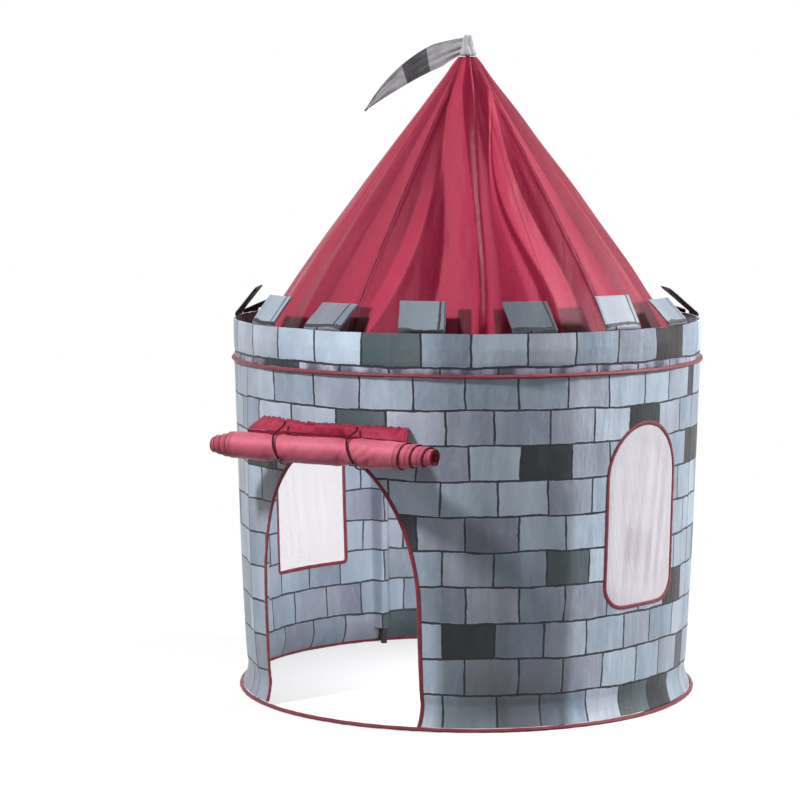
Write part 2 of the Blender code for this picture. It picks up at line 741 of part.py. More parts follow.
def turned_point(point, angle):
    """A point at angle 0 moved round the tent."""
    return around(angle, -point.y, point.z)


def pennant():
    """A tapering flag that droops from a gathered sleeve round the hub's pin."""
    bore = PIN_DIAMETER / 2 + CLEARANCE * 2
    outline = [
        (SLEEVE_TOP_RADIUS, SLEEVE_TOP),
        (mix(SLEEVE_RADIUS, SLEEVE_TOP_RADIUS, 0.6), mix(SLEEVE_BASE, SLEEVE_TOP, 0.5)),
        (SLEEVE_RADIUS, SLEEVE_BASE),
        (bore, SLEEVE_BASE),
        (bore, SLEEVE_TOP),
    ]
    sleeve = turned("flag", outline, ROUND_SIDES, LOOKS["flag"])
    root = (bore + SLEEVE_TOP_RADIUS) / 2
    root_height = mix(SLEEVE_BASE, SLEEVE_TOP, 0.5)
    bend = (mix(root, FLAG_REACH, FLAG_BEND_SHARES[0]), root_height - FLAG_DROP * FLAG_BEND_SHARES[1])
    tip = (FLAG_REACH, root_height - FLAG_DROP)
    aside = around(FLAG_ANGLE + 90, 1, 0)

    def centre(t):
        weights = ((1 - t) ** 2, 2 * t * (1 - t), t * t)
        spots = ((root, root_height), bend, tip)
        return [sum(w * spot[axis] for w, spot in zip(weights, spots)) for axis in (0, 1)]

    def surface(along, up):
        reach, height = centre(along)
        ahead = [b - a for a, b in zip(centre(along - 0.01), centre(along + 0.01))]
        length = (ahead[0] ** 2 + ahead[1] ** 2) ** 0.5
        opened = min(along / FLAG_OPEN_SHARE, 1)
        width = mix(FLAG_ROOT_WIDTH, FLAG_WIDTH, opened) * (1 - along**FLAG_TAPER_POWER)
        side = (up - 0.5) * max(width, FLAG_TIP_WIDTH)
        lean = side * ahead[1] / length * opened
        spot = around(FLAG_ANGLE, reach - lean, height + side * ahead[0] / length)
        return spot + aside * FLAG_RIPPLE * sin(2 * pi * FLAG_WAVES * along) * along

    sheet = cloth("flag_sheet", surface, FLAG_COLUMNS, FLAG_ROW_SHARES, CLOTH, cutter=True)
    combine(sleeve, sheet, "UNION")


def stand():
    """Hangs every piece and cutter on one empty, which stands on the tent's axis."""
    pieces = list(TENT.objects) + list(CUTTERS.objects)
    axis = bpy.data.objects.new("tent_axis", None)
    TENT.objects.link(axis)
    axis.location.y = AXIS_Y
    for piece in pieces:
        piece.parent = axis


def build():
    door = opening("door", DOOR_ANGLE, DOOR_HALF_WIDTH, DOOR_ARCH, -CUT_REACH, DOOR_TOP, 0)
    windows = [
        opening(
            f"window_{side}", angle, WINDOW_HALF_WIDTH, WINDOW_ARCH, WINDOW_TOP - height, WINDOW_TOP, corner
        )
        for side, angle, height, corner in zip(
            WINDOW_SIDES, WINDOW_ANGLES, WINDOW_HEIGHTS, WINDOW_CORNERS
        )
    ]
    wall_panels({DOOR_ANGLE: door, WINDOW_ANGLES[0]: windows[0], WINDOW_ANGLES[1]: windows[1]})
    bindings_and_nets(door, windows)
    hoops_and_piping()
    battlement_band()
    for index in range(MERLONS):
        merlon(index)
    roof_gores()
    door_curtain(door_header())
    door_roll()
    for index, x in enumerate(TIE_PLACES, 1):
        door_tie(index, x)
    for index, angle in enumerate(POLE_ANGLES, 1):
        wall_pole(index, angle)
    elbow, out, path = rod_path()
    roof_rods(path)
    pole_feet()
    eaves_elbows(elbow, out)
    apex_hub(path)
    pennant()
    stand()


for old in list(bpy.data.objects):
    bpy.data.objects.remove(old)
TENT = bpy.data.collections.new("kids_play_tent")
CUTTERS = bpy.data.collections.new("cutters")
bpy.context.scene.collection.children.link(TENT)
bpy.context.scene.collection.children.link(CUTTERS)
LOOKS = {
    "brick": material("brick_print_cloth", (0.36, 0.41, 0.47), 0.5),
    "roof": material("raspberry_cloth", (0.42, 0.035, 0.085), 0.45),
    "piping": material("piping_tape", (0.38, 0.05, 0.09), 0.6),
    "net": material("window_net", (0.75, 0.70, 0.72), 0.7, alpha=0.5),
    "tie": material("elastic_cord", (0.16, 0.015, 0.03), 0.7),
    "flag": material("flag_cloth", (0.36, 0.34, 0.38), 0.6),
    "steel": material("spring_steel", (0.55, 0.55, 0.56), 0.35, 1.0),
    "pole": material("pole_plastic", (0.10, 0.10, 0.11), 0.4),
    "fitting": material("moulded_plastic", (0.04, 0.04, 0.045), 0.5),
}
build()
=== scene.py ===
# %% [markdown]
# # A kids' play tent in the shape of a castle tower
#
# The real tent is a light polyester shell on thin poles. A round wall with a printed brick
# pattern hangs between two wire hoops. Battlements stand on a collar above it, and a cone
# of raspberry taffeta rises to a hub that carries a small pennant. The doorway's curtain
# is rolled up and tied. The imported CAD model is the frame: it gives every place and every
# joint. This lesson sews the cloth on it, piece by piece, and dyes it.

from math import cos, pi, radians, sin

import bmesh
import bpy
import numpy as np
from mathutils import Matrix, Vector


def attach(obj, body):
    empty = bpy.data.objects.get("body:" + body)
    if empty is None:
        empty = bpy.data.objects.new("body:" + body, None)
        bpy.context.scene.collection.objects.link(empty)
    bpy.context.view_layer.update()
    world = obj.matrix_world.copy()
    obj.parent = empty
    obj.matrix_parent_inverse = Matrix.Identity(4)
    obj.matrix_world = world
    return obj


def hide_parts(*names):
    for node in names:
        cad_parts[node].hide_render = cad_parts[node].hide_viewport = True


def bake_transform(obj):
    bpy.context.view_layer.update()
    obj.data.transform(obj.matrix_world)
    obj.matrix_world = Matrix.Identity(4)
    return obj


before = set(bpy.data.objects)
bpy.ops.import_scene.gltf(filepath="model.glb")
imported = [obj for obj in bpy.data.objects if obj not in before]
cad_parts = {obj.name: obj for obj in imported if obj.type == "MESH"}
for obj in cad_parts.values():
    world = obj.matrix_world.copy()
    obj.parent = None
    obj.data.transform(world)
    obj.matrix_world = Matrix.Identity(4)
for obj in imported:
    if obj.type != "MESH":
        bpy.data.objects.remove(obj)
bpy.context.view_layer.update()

# %% [markdown]
# ## The camera
#
# The photograph was taken with a long lens from a little above the eaves, to the right of
# the door. Two round hoops give that away: how open their ellipses look sets the height,
# and the door's place sets the angle. The tent's axis stands a little behind the origin.

# %% Camera
AXIS_Y = 0.0321
CAMERA_ANGLE, CAMERA_DISTANCE, CAMERA_HEIGHT = 33.5, 5.5, 1.182
LENS, LOOK_DOWN, LOOK_ASIDE = 115.2, 5.865, 1.5


def around(angle, radius, height):
    """Points at an angle in degrees from the door towards +X, a radius and a height."""
    turn = np.radians(angle)
    x, y, z = np.broadcast_arrays(radius * np.sin(turn), AXIS_Y - radius * np.cos(turn), height)
    return np.stack([x, y, z], axis=-1).astype(float)


def outward(angle):
    """The level direction at an angle."""
    return around(angle, 1, 0) - (0, AXIS_Y, 0)


camera_data = bpy.data.cameras.new("camera")
camera_data.lens = LENS
camera = bpy.data.objects.new("camera", camera_data)
camera.location = around(CAMERA_ANGLE, CAMERA_DISTANCE, CAMERA_HEIGHT)
camera.rotation_euler = (radians(90 - LOOK_DOWN), 0, radians(CAMERA_ANGLE + LOOK_ASIDE))
bpy.context.scene.collection.objects.link(camera)
bpy.context.scene.camera = camera
print("camera at", [round(x, 2) for x in camera.location])

# %% [markdown]
# ## Shader sums
#
# Dyes and prints are sums on places in the cloth. Writing them as node by node code hides
# the idea, so one small class wraps a socket and lets Python's own operators add the Math
# nodes. Everything else comes from one method that takes a node's type, its settings and
# what feeds its sockets.

# %% Shader classes
WEAVE = 0.0011
SUMS = (
    ("__add__", "ADD"), ("__sub__", "SUBTRACT"), ("__mul__", "MULTIPLY"), ("__truediv__", "DIVIDE"),
    ("__mod__", "FLOORED_MODULO"), ("__abs__", "ABSOLUTE"), ("floor", "FLOOR"), ("wave", "SINE"),
    ("least", "MINIMUM"), ("below", "LESS_THAN"),
)
TURNED_SUMS = (("__radd__", "ADD"), ("__rsub__", "SUBTRACT"), ("__rmul__", "MULTIPLY"))


class Value:
    """A number, place or colour that a shader works out."""

    def __init__(self, finish, socket):
        self.finish = finish
        self.socket = socket

    def sum(self, operation, *terms):
        return self.finish.node("ShaderNodeMath", {"operation": operation}, dict(enumerate(terms)))

    def equals(self, other):
        return self.sum("COMPARE", self, other, 0.5)

    def rise(self, low, high):
        """0 below low and 1 above high, with a smooth step between them."""
        ends = {"Value": self, "From Min": low, "From Max": high}
        return self.finish.node("ShaderNodeMapRange", {"interpolation_type": "SMOOTHSTEP"}, ends)


for sign, operation in SUMS:
    setattr(Value, sign, lambda self, *others, kind=operation: self.sum(kind, self, *others))
for sign, operation in TURNED_SUMS:
    setattr(Value, sign, lambda self, other, kind=operation: self.sum(kind, other, self))


class Finish:
    """One material: its constants, and the sums that feed it."""

    def __init__(self, name, **constants):
        self.material = bpy.data.materials.new(name)
        self.material.use_nodes = True
        self.tree = self.material.node_tree
        self.shader = self.tree.nodes["Principled BSDF"]
        for socket, value in constants.items():
            self.shader.inputs[socket.replace("_", " ")].default_value = value

    def feed(self, socket, value):
        if isinstance(value, Value):
            self.tree.links.new(value.socket, socket)
        else:
            socket.default_value = value

    def node(self, kind, settings, inputs, output=0):
        made = self.tree.nodes.new(kind)
        for setting, value in settings.items():
            setattr(made, setting, value)
        for key, value in inputs.items():
            self.feed(made.inputs[key], value)
        return Value(self, made.outputs[output])

    def parts(self, place):
        return [self.node("ShaderNodeSeparateXYZ", {}, {0: place}, axis) for axis in range(3)]

    def on_cloth(self):
        """The place on the cloth's own map, in metres across and up."""
        place = self.node("ShaderNodeUVMap", {"uv_map": "cloth"}, {})
        return self.parts(place)[:2]

    def on_object(self):
        return self.node("ShaderNodeTexCoord", {}, {}, "Object")

    def written(self, name):
        """A number that is written on the mesh."""
        return self.node("ShaderNodeAttribute", {"attribute_name": name}, {}, "Fac")

    def at(self, x, y, z=0.0):
        return self.node("ShaderNodeCombineXYZ", {}, {0: x, 1: y, 2: z})

    def drift(self, place, scale, detail=2.0):
        """Soft noise from about -0.5 to 0.5."""
        inputs = {"Vector": place, "Scale": scale, "Detail": detail}
        return self.node("ShaderNodeTexNoise", {}, inputs) - 0.5

    def chance(self, x, y, seed):
        """A number from 0 to 1 that is the same for a whole brick or stitch."""
        settings = {"noise_dimensions": "3D"}
        return self.node("ShaderNodeTexWhiteNoise", settings, {"Vector": self.at(x, y, seed)})

    def mixed(self, share, first, second, how="MIX"):
        settings = {"data_type": "RGBA", "blend_type": how, "clamp_factor": True}
        return self.node("ShaderNodeMix", settings, {0: share, 6: first, 7: second}, 2)

    def weave(self, across, up):
        """The rise and fall of the threads."""
        return (across * (2 * pi / WEAVE)).wave() * (up * (2 * pi / WEAVE)).wave()

    def stitches(self, edge, inset, half, along, pitch, length):
        """A row of stitches on a line that lies inset from the cloth's edge."""
        return (abs(edge - inset) - half).below(0.0) * (along % pitch).below(length)

    def finish(self, color, roughness, height, depth, strength=1.0):
        """Feeds the shader, with a height in shares of depth metres for the bump."""
        self.feed(self.shader.inputs["Base Color"], color)
        self.feed(self.shader.inputs["Roughness"], roughness)
        bump = {"Height": height, "Distance": depth, "Strength": strength}
        self.feed(self.shader.inputs["Normal"], self.node("ShaderNodeBump", {}, bump))
        return self.material


def dye(red, green, blue):
    """A colour given in the 0 to 255 numbers of a screen, as light."""
    shares = [part / 255 for part in (red, green, blue)]
    light = [x / 12.92 if x <= 0.04045 else ((x + 0.055) / 1.055) ** 2.4 for x in shares]
    return (*light, 1.0)


# %% [markdown]
# ## Floor, world and lamps
#
# A catalogue photograph has a white sweep and soft lamps. The floor and the world look
# white to the camera and in reflections only, so the object isn't lit more for it. The key
# lamp is small and stands high at the front left: it gives the flaps their crisp shadows.
# The side lamp, high at the right, brings the satin up again there. A wide one behind
# lights the roof's edge, and a weak one inside keeps the far wall from going dark.

# %% Floor and lamps
AMBIENT, FLOOR_GREY, FLOOR_WHITE = 0.25, 0.20, 0.93
GLOW_LEAST, GLOW_FROM, GLOW_FULL = 0.60, 0.75, 1.7
LAMP_AIM = Vector((0, AXIS_Y, 0.75))
LAMPS = (
    ("key_lamp", -18, 3.4, 4.15, 0.6, 240),
    ("side_lamp", 125, 3.9, 3.00, 0.8, 280),
    ("back_lamp", 215, 4.5, 2.6, 2.0, 60),
)
INNER_HEIGHT, INNER_SIZE, INNER_WATTS = 0.36, 0.22, 9.0
bpy.context.scene.view_settings.view_transform = "Standard"


def seen_by_eye(tree):
    """1 for the rays that reach the eye straight, off a mirror or through glass."""
    path = tree.nodes.new("ShaderNodeLightPath")
    seen = path.outputs["Is Camera Ray"]
    for ray in ("Is Glossy Ray", "Is Transmission Ray"):
        either = tree.nodes.new("ShaderNodeMath")
        either.operation = "MAXIMUM"
        tree.links.new(seen, either.inputs[0])
        tree.links.new(path.outputs[ray], either.inputs[1])
        seen = either.outputs[0]
    return seen


def lamp_at(name, kind, watts, place):
    """A new lamp and the object that holds it."""
    lamp = bpy.data.lights.new(name, kind)
    lamp.energy = watts
    holder = bpy.data.objects.new(name, lamp)
    holder.location = place
    bpy.context.scene.collection.objects.link(holder)
    return lamp, holder


world = bpy.data.worlds.new("studio")
world.use_nodes = True
bpy.context.scene.world = world
ambient = world.node_tree.nodes["Background"]
ambient.inputs["Color"].default_value = (1, 1, 1, 1)
ambient.inputs["Strength"].default_value = AMBIENT
white = world.node_tree.nodes.new("ShaderNodeBackground")
white.inputs["Color"].default_value = (1, 1, 1, 1)
white_mix = world.node_tree.nodes.new("ShaderNodeMixShader")
world.node_tree.links.new(seen_by_eye(world.node_tree), white_mix.inputs[0])
world.node_tree.links.new(ambient.outputs[0], white_mix.inputs[1])
world.node_tree.links.new(white.outputs[0], white_mix.inputs[2])
world.node_tree.links.new(white_mix.outputs[0], world.node_tree.nodes["World Output"].inputs[0])

bpy.ops.mesh.primitive_plane_add(size=30, location=(0, 0, -0.0005))
floor = bpy.context.object
floor.name = "floor"
floor_look = Finish("white_sweep", Roughness=0.9, Specular_IOR_Level=0.0)
eye = Value(floor_look, seen_by_eye(floor_look.tree))
ends = {0: floor_look.on_object(), 1: floor_look.at(0.0, AXIS_Y)}
away = floor_look.node("ShaderNodeVectorMath", {"operation": "DISTANCE"}, ends, 1)
sweep = floor_look.mixed(eye, (*[FLOOR_GREY] * 3, 1), (*[FLOOR_WHITE] * 3, 1))
floor_look.feed(floor_look.shader.inputs["Base Color"], sweep)
glow = floor_look.node("ShaderNodeEmission", {}, {})
lit = Value(floor_look, floor_look.shader.outputs[0])
glowing = eye * (GLOW_LEAST + (1 - GLOW_LEAST) * away.rise(GLOW_FROM, GLOW_FULL))
shown = floor_look.node("ShaderNodeMixShader", {}, {0: glowing, 1: lit, 2: glow})
floor_look.feed(floor_look.tree.nodes["Material Output"].inputs[0], shown)
floor.data.materials.append(floor_look.material)

for name, angle, distance, height, size, watts in LAMPS:
    lamp, holder = lamp_at(name, "AREA", watts, around(angle, distance, height))
    lamp.shape, lamp.size = "DISK", size
    holder.rotation_euler = (LAMP_AIM - holder.location).to_track_quat("-Z", "Y").to_euler()
inner_lamp, _ = lamp_at("inner_lamp", "POINT", INNER_WATTS, (0, AXIS_Y, INNER_HEIGHT))
inner_lamp.shadow_soft_size = INNER_SIZE
print("lamps:", len(LAMPS) + 1)

# %% [markdown]
# ## The brick print
#
# The wall's cloth carries a hand-drawn print of grey blocks in running bond, with wobbly
# ink lines and a few dark stones. A Brick texture would make every joint straight, so the
# print is worked out from its parts: which course and which brick a point is in, how far
# it is from the nearest joint, and a chance number for each brick's tone. The map is in
# metres, and it repeats the same way on each panel, shifted as the cutter laid it. Two
# numbers come from the mesh: "edge", the way to the panel's edge, and "lie", the
# painted light and shade of the satin, which scales the colour.

# %% Brick print
BRICK, COURSE = 0.1056, 0.0715
ODD_JOINT, EVEN_JOINT = 0.851, 0.380
STRIP_COURSE = 19
BLACK_BRICKS = (
    (8, 6), (7, 3), (2, 2), (0, 7), (7, -3), (5, 0), (3, 44), (6, 50), (8, 47), (9, 8), (7, 8),
    (19, -3), (6, 12), (1, 11),
)
GREEN_BRICKS = (
    (8, 0), (0, 6), (0, 46), (5, 52), (4, 4), (1, 8), (6, 9), (20, 0), (3, 12), (20, 14),
    (20, 22), (0, 10),
)
BROWN_BRICKS = ((3, 7), (8, 11), (20, 6), (5, 10), (2, 13), (20, 18), (20, -8))


def brick_print(name, ink_share, print_share):
    cloth = Finish(name, Sheen_Weight=0.12, Sheen_Roughness=0.4, Specular_IOR_Level=0.34)
    across, up = cloth.on_cloth()
    place = cloth.at(across, up)
    aside = cloth.at(across, up, 7.3)
    hand_x = cloth.drift(place, 11.0, 1.0) * 0.010 + cloth.drift(place, 62.0, 2.0) * 0.0034
    hand_y = cloth.drift(aside, 9.0, 1.0) * 0.011 + cloth.drift(aside, 55.0, 2.0) * 0.0036

    # Which course and which brick, and the way to the nearest joint.
    height = (up + hand_y) / COURSE
    course = height.floor()
    odd = course % 2.0
    row = (across + hand_x) / BRICK - (EVEN_JOINT + odd * (ODD_JOINT - EVEN_JOINT))
    joint = (row + 0.5).floor()
    past = row - joint - (cloth.chance(joint, course, 1.0) - 0.5) * 0.13
    left_of = past.below(0.0)
    column = joint - left_of
    within = past + left_of - 0.5
    share_up = height - course
    gap = (abs(past) * BRICK).least(share_up.least(1 - share_up) * COURSE)
    pen = 0.0021 + cloth.drift(aside, 34.0, 1.0) * 0.0024
    ink = 1 - (gap - pen).rise(-0.0003, 0.0007)
    brick = course * 100.0 + column

    def any_of(bricks):
        found = 0.0
        for this_course, this_column in bricks:
            found = brick.equals(this_course * 100.0 + this_column) + found
        return found

    # The pale stones: a chance tone each, washed unevenly, lighter towards the ink.
    tone = cloth.chance(column, course, 2.0)
    lean = (cloth.chance(column, course, 3.0) - 0.5) * within * 0.8
    cloud = cloth.drift(cloth.at(across, up * 0.45), 26.0, 4.0)
    share = tone * 0.85 + lean + cloud * 0.75
    cool = cloth.mixed(share, dye(132, 146, 163), dye(184, 200, 215))
    grey = cloth.mixed(share, dye(134, 140, 156), dye(184, 192, 206))
    stone = cloth.mixed(cloth.chance(column, course, 4.0).rise(0.45, 0.75), cool, grey)
    washed = cloth.drift(cloth.at(across, up * 0.35, 3.0), 60.0, 3.0)
    stone = cloth.mixed(washed.rise(0.02, 0.3) * 0.25, stone, dye(200, 210, 220))
    rim = (1 - (gap - pen).rise(0.0, 0.0034)) * 0.2
    stone = cloth.mixed(rim, stone, dye(204, 213, 222))

    # The dark stones, and a dark mottle of painted shade on the gathered strip under the collar.
    streak = (cloud + within * 0.5).rise(-0.1, 0.45) * 0.3
    slant = within.rise(-0.4, 0.5) * 0.4
    is_black = any_of(BLACK_BRICKS)
    for found, shade, low, high in (
        (is_black, streak, dye(24, 28, 33), dye(92, 100, 106)),
        (any_of(GREEN_BRICKS), slant, dye(62, 76, 80), dye(112, 124, 130)),
        (any_of(BROWN_BRICKS), streak, dye(32, 27, 31), dye(72, 62, 64)),
    ):
        stone = cloth.mixed(found, stone, cloth.mixed(shade, low, high))
    strip_shade_color = cloth.mixed((cloud * 2.4 + 0.5).rise(0.2, 0.8), dye(58, 52, 72), dye(164, 160, 182))
    strip_shade_share = course.equals(STRIP_COURSE) * 0.85 * (1 - is_black)
    stone = cloth.mixed(strip_shade_share, stone, strip_shade_color)

    inked = cloth.mixed(ink * ink_share, stone, dye(20, 22, 38))
    edge = cloth.written("edge")
    inked = cloth.mixed((1 - edge.rise(0.0006, 0.0022)) * 0.6, inked, dye(40, 42, 58))
    color = cloth.mixed(1 - print_share, inked, dye(128, 138, 152))
    # The painted light and shade from the mesh scales the whole colour.
    light = cloth.written("lie") + 1.0
    color = cloth.mixed(1.0, color, cloth.at(light, light, light), "MULTIPLY")

    crush = cloth.drift(cloth.at(across, up * 0.3), 22.0, 3.0)
    crumple = cloth.drift(place, 90.0, 3.0)
    stitch = cloth.stitches(edge, 0.006, 0.0008, up, 0.005, 0.0033)
    bump = crush * 2.0 + crumple * 0.26 + cloth.weave(across, up) * 0.03 + stitch * 0.3
    return cloth.finish(color, 0.42 + crumple * 0.10 + ink * 0.08, bump, 0.0024)


brick_out = brick_print("brick_cloth_outside", 0.97, 1.0)
brick_in = brick_print("brick_cloth_inside", 0.92, 0.94)
print("brick print nodes:", len(brick_out.node_tree.nodes))

# %% [markdown]
# ## Raspberry taffeta
#
# The roof and the door curtain are plain-dyed taffeta: a filament weave with a satin
# shine, fine crosswise slubs and soft creases from the bag it is packed in. A stitched
# line runs beside each cut edge, where the hem is darker because the cloth is double.
# The mesh carries four numbers for it: "edge" is the way to the cut edge, "lie"
# the satin's painted light and shade, "shade" the painted shadow where the flaps keep the
# light off, and "rod" is 1 on the stitched lines over the rods. The roof, the rolled curtain
# and the lining have a finish each.

# %% Raspberry cloth
def raspberry(name, light, deep):
    cloth = Finish(name, Specular_IOR_Level=0.18, Specular_Tint=(1.0, 0.38, 0.48, 1.0))
    across, up = cloth.on_cloth()
    edge = cloth.written("edge")
    slub = cloth.drift(cloth.at(across * 0.04, up), 900.0, 2.0)
    crease = cloth.drift(cloth.at(across, up * 0.22), 34.0, 3.0)
    crumple = cloth.drift(cloth.at(across, up), 120.0, 3.0)
    pool = cloth.drift(cloth.at(across, up * 0.4), 9.0, 2.0)
    # The painted light and shade moves the colour between the deep and light dyes.
    share = 0.42 + pool * 0.4 + slub * 0.22 + crumple * 0.15 + cloth.written("lie")
    hem = 1 - edge.rise(0.0085, 0.0100)
    cut_edge = 1 - edge.rise(0.0008, 0.0024)
    stitch = cloth.stitches(edge, 0.0068, 0.0006, across + up, 0.0046, 0.0032)
    rod_line = 1 - abs(cloth.written("rod") - 1.0).rise(0.0007, 0.0016)
    color = cloth.mixed(share, deep, light)
    for part, tint in (
        (cloth.written("shade"), dye(56, 6, 18)),
        (hem * 0.22, dye(120, 20, 48)),
        (cut_edge * 0.8, dye(74, 10, 26)),
        (stitch * 0.65, dye(96, 16, 40)),
        (rod_line * 0.45, dye(74, 10, 26)),
    ):
        color = cloth.mixed(part, color, tint)
    bump = crease * 0.8 + crumple * 0.16 + slub * 0.08 + cloth.weave(across, up) * 0.025
    bump = bump - stitch * 0.25 + hem * 0.25 - rod_line * 0.4
    return cloth.finish(color, 0.33 + crumple * 0.1 + slub * 0.08, bump, 0.0020)


roof_out = raspberry("raspberry_taffeta", dye(176, 55, 81), dye(103, 8, 36))
# The rolled curtain is the same taffeta in lighter dyes: a lit copy, whose light dye gives the painted
# highlight along the roll.
curtain_out = raspberry("raspberry_curtain", dye(224, 124, 144), dye(136, 28, 54))
roof_in = raspberry("raspberry_lining", dye(170, 60, 82), dye(92, 14, 36))
print("raspberry nodes:", len(roof_out.node_tree.nodes))

# %% [markdown]
# ## Tape, net, elastic and pennant cloth
#
# The smaller finishes are made the same way. The tape has gathers across it and a zigzag
# of thread. The net is a grid of holes that only the Alpha socket needs to know about; the
# left window's is finer and clearer. The pennant's bands lie across its length, so they
# come from the map.

# %% Small finishes
def red_tape(name):
    tape = Finish(name, Sheen_Weight=0.15, Specular_IOR_Level=0.3)
    along, over = tape.on_cloth()
    gather = tape.drift(tape.at(along, over * 0.25), 260.0, 2.0)
    worn = tape.drift(tape.at(along, over), 40.0, 3.0)
    color = tape.mixed(0.5 + worn * 1.2 + gather * 0.6, dye(98, 22, 38), dye(150, 58, 74))
    zigzag = abs((along % 0.0046) / 0.0023 - 1.0) * 0.0044 + 0.0016
    thread = 1 - abs(over - zigzag).rise(0.0003, 0.0009)
    color = tape.mixed(thread * 0.75, color, dye(84, 12, 30))
    return tape.finish(color, 0.55 + gather * 0.15, gather * 0.8 + thread * 0.9, 0.0006)


def net_look(name, cover, pitch):
    net = Finish(name, Specular_IOR_Level=0.3, Sheen_Weight=0.2)
    along, up = net.on_cloth()
    first = abs((along % pitch) - pitch / 2)
    second = abs(((up + along * 0.5) % pitch) - pitch / 2)
    strand = (first * first + second * second).rise(0.062 * pitch**2, 0.166 * pitch**2)
    soft = net.drift(net.at(along, up * 0.15), 30.0, 2.0)
    color = net.mixed(0.5 + soft, dye(232, 222, 233), dye(250, 246, 250))
    net.feed(net.shader.inputs["Alpha"], cover + strand * 0.36 + soft * 0.16)
    return net.finish(color, 0.62 + soft * 0.1, strand + soft * 2.0, 0.0006)


def elastic_look(name):
    cord = Finish(name, Specular_IOR_Level=0.2)
    along, over = cord.on_cloth()
    braid = (along * 2600.0 + over * 6.0).wave() * (along * 2600.0 - over * 6.0).wave()
    worn = cord.drift(cord.at(along, over * 0.01), 120.0, 2.0)
    color = cord.mixed(0.5 + braid * 0.35 + worn, dye(66, 12, 26), dye(112, 30, 48))
    return cord.finish(color, 0.62 + braid * 0.05, braid, 0.0004)


def pennant_look(name):
    flag = Finish(name, Sheen_Weight=0.1, Specular_IOR_Level=0.3)
    along, up = flag.on_cloth()
    slant = along + up * 0.32
    band = slant.rise(0.0830, 0.0840) * (1 - slant.rise(0.1420, 0.1430))
    cloud = flag.drift(flag.at(along, up), 40.0, 3.0)
    color = flag.mixed(0.5 + cloud * 1.5, dye(148, 146, 151), dye(174, 173, 177))
    dark = flag.mixed(0.5 + cloud * 1.5, dye(60, 60, 64), dye(86, 84, 88))
    color = flag.mixed(band, color, dark)
    hem = 1 - flag.written("edge").rise(0.0008, 0.0020)
    color = flag.mixed(hem * 0.6, color, dye(70, 74, 80))
    bump = cloud * 1.5 + flag.weave(along, up) * 0.04
    return flag.finish(color, 0.5 + cloud * 0.1, bump, 0.0016)


tape_look = red_tape("red_binding_tape")
net_cloths = {
    "right": net_look("white_window_net", 0.36, 0.0038),
    "left": net_look("thin_window_net", 0.06, 0.0026),
}
elastic = elastic_look("dark_red_elastic")
pennant_cloth = pennant_look("grey_pennant_cloth")
print("small finishes:", 3 + len(net_cloths))

# %% [markdown]
# ## Moulded plastic, pole and spring steel
#
# The hidden hardware keeps its CAD shape and only gets a better finish. Poles are pulled
# from glass fibre, so fine streaks run along them, the fittings have the fine grain of an
# injection mould, and the hoops are bright spring wire with a little oil stain.

# %% Hardware finishes
def hardware(name, light, dark, roughness, grain, stretch, depth, metallic=0.0):
    """A finish between two tones; stretch is under 1 where the grain runs upright."""
    look = Finish(name, Metallic=metallic, Specular_IOR_Level=0.5)
    x, y, z = look.parts(look.on_object())
    place = look.at(x, y, z * stretch)
    fine = look.drift(place, grain, 3.0)
    broad = look.drift(place, grain / 14, 2.0)
    color = look.mixed(0.5 + fine * 0.5 + broad * 0.9, dye(*dark), dye(*light))
    return look.finish(color, roughness + fine * 0.2 + broad * 0.15, fine, depth)


HARDWARE = {
    "wall_pole": ("glass_fibre_pole", (84, 86, 90), (48, 50, 54), 0.42, 900.0, 0.05, 0.0001),
    "roof_rod": ("glass_fibre_rod", (88, 90, 94), (52, 54, 58), 0.42, 900.0, 0.3, 0.0001),
    "eaves_elbow": ("moulded_elbow", (52, 52, 55), (34, 34, 37), 0.5, 1400.0, 1.0, 0.00006),
    "pole_foot": ("moulded_foot", (56, 56, 59), (36, 36, 39), 0.55, 1400.0, 1.0, 0.00006),
    "apex_hub": ("moulded_hub", (52, 52, 55), (34, 34, 37), 0.5, 1400.0, 1.0, 0.00006),
    "eaves_hoop": ("spring_wire", (196, 197, 200), (150, 151, 156), 0.34, 600.0, 1.0, 4e-5, 1.0),
    "base_hoop": ("spring_wire_low", (190, 190, 194), (140, 138, 140), 0.38, 600.0, 1.0, 4e-5, 1.0),
}
dressed = 0
for start, row in HARDWARE.items():
    look = hardware(*row)
    for node_name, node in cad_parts.items():
        if node_name.startswith(start):
            for slot in node.material_slots:
                slot.material = look
            dressed += 1
print("hardware nodes dressed:", dressed)

# %% [markdown]
# ## Cutting and sewing helpers
#
# Each panel of cloth is a grid of points. The grid keeps its map in metres, so the print
# and the weave have their real size on it, and it knows how far each point is from the
# panel's edge, for hems and stitches. Thickness comes last, with a Solidify modifier that
# gives the inside its own finish. Soft noise that repeats round the tent stands in for
# the unevenness of hand-guided sewing.

# %% Cloth helpers
def eased(share):
    """A share from 0 to 1 that starts and ends softly."""
    share = np.clip(share, 0, 1)
    return share * share * (3 - 2 * share)


def wander(x, y, seed, period=0):
    """Smooth noise from -1 to 1 with a bump to each whole step; x can repeat."""

    def chance(i, j):
        i = np.mod(i, period) if period else i
        number = np.sin(i * 127.1 + j * 311.7 + seed * 74.7) * 43758.5453
        return 2 * (number - np.floor(number)) - 1

    i, j = np.floor(x), np.floor(y)
    a, b = eased(x - i), eased(y - j)
    low = chance(i, j) * (1 - a) + chance(i + 1, j) * a
    high = chance(i, j + 1) * (1 - a) + chance(i + 1, j + 1) * a
    return low * (1 - b) + high * b


def ring_noise(angle, spacing, y, seed):
    """The same noise round the tent, with a bump to each spacing in degrees."""
    return wander(np.asarray(angle) / spacing, y, seed, round(360 / spacing))


def bell(x):
    """1 in the middle, and nothing from about 2 to either side."""
    return np.exp(-(x**2))


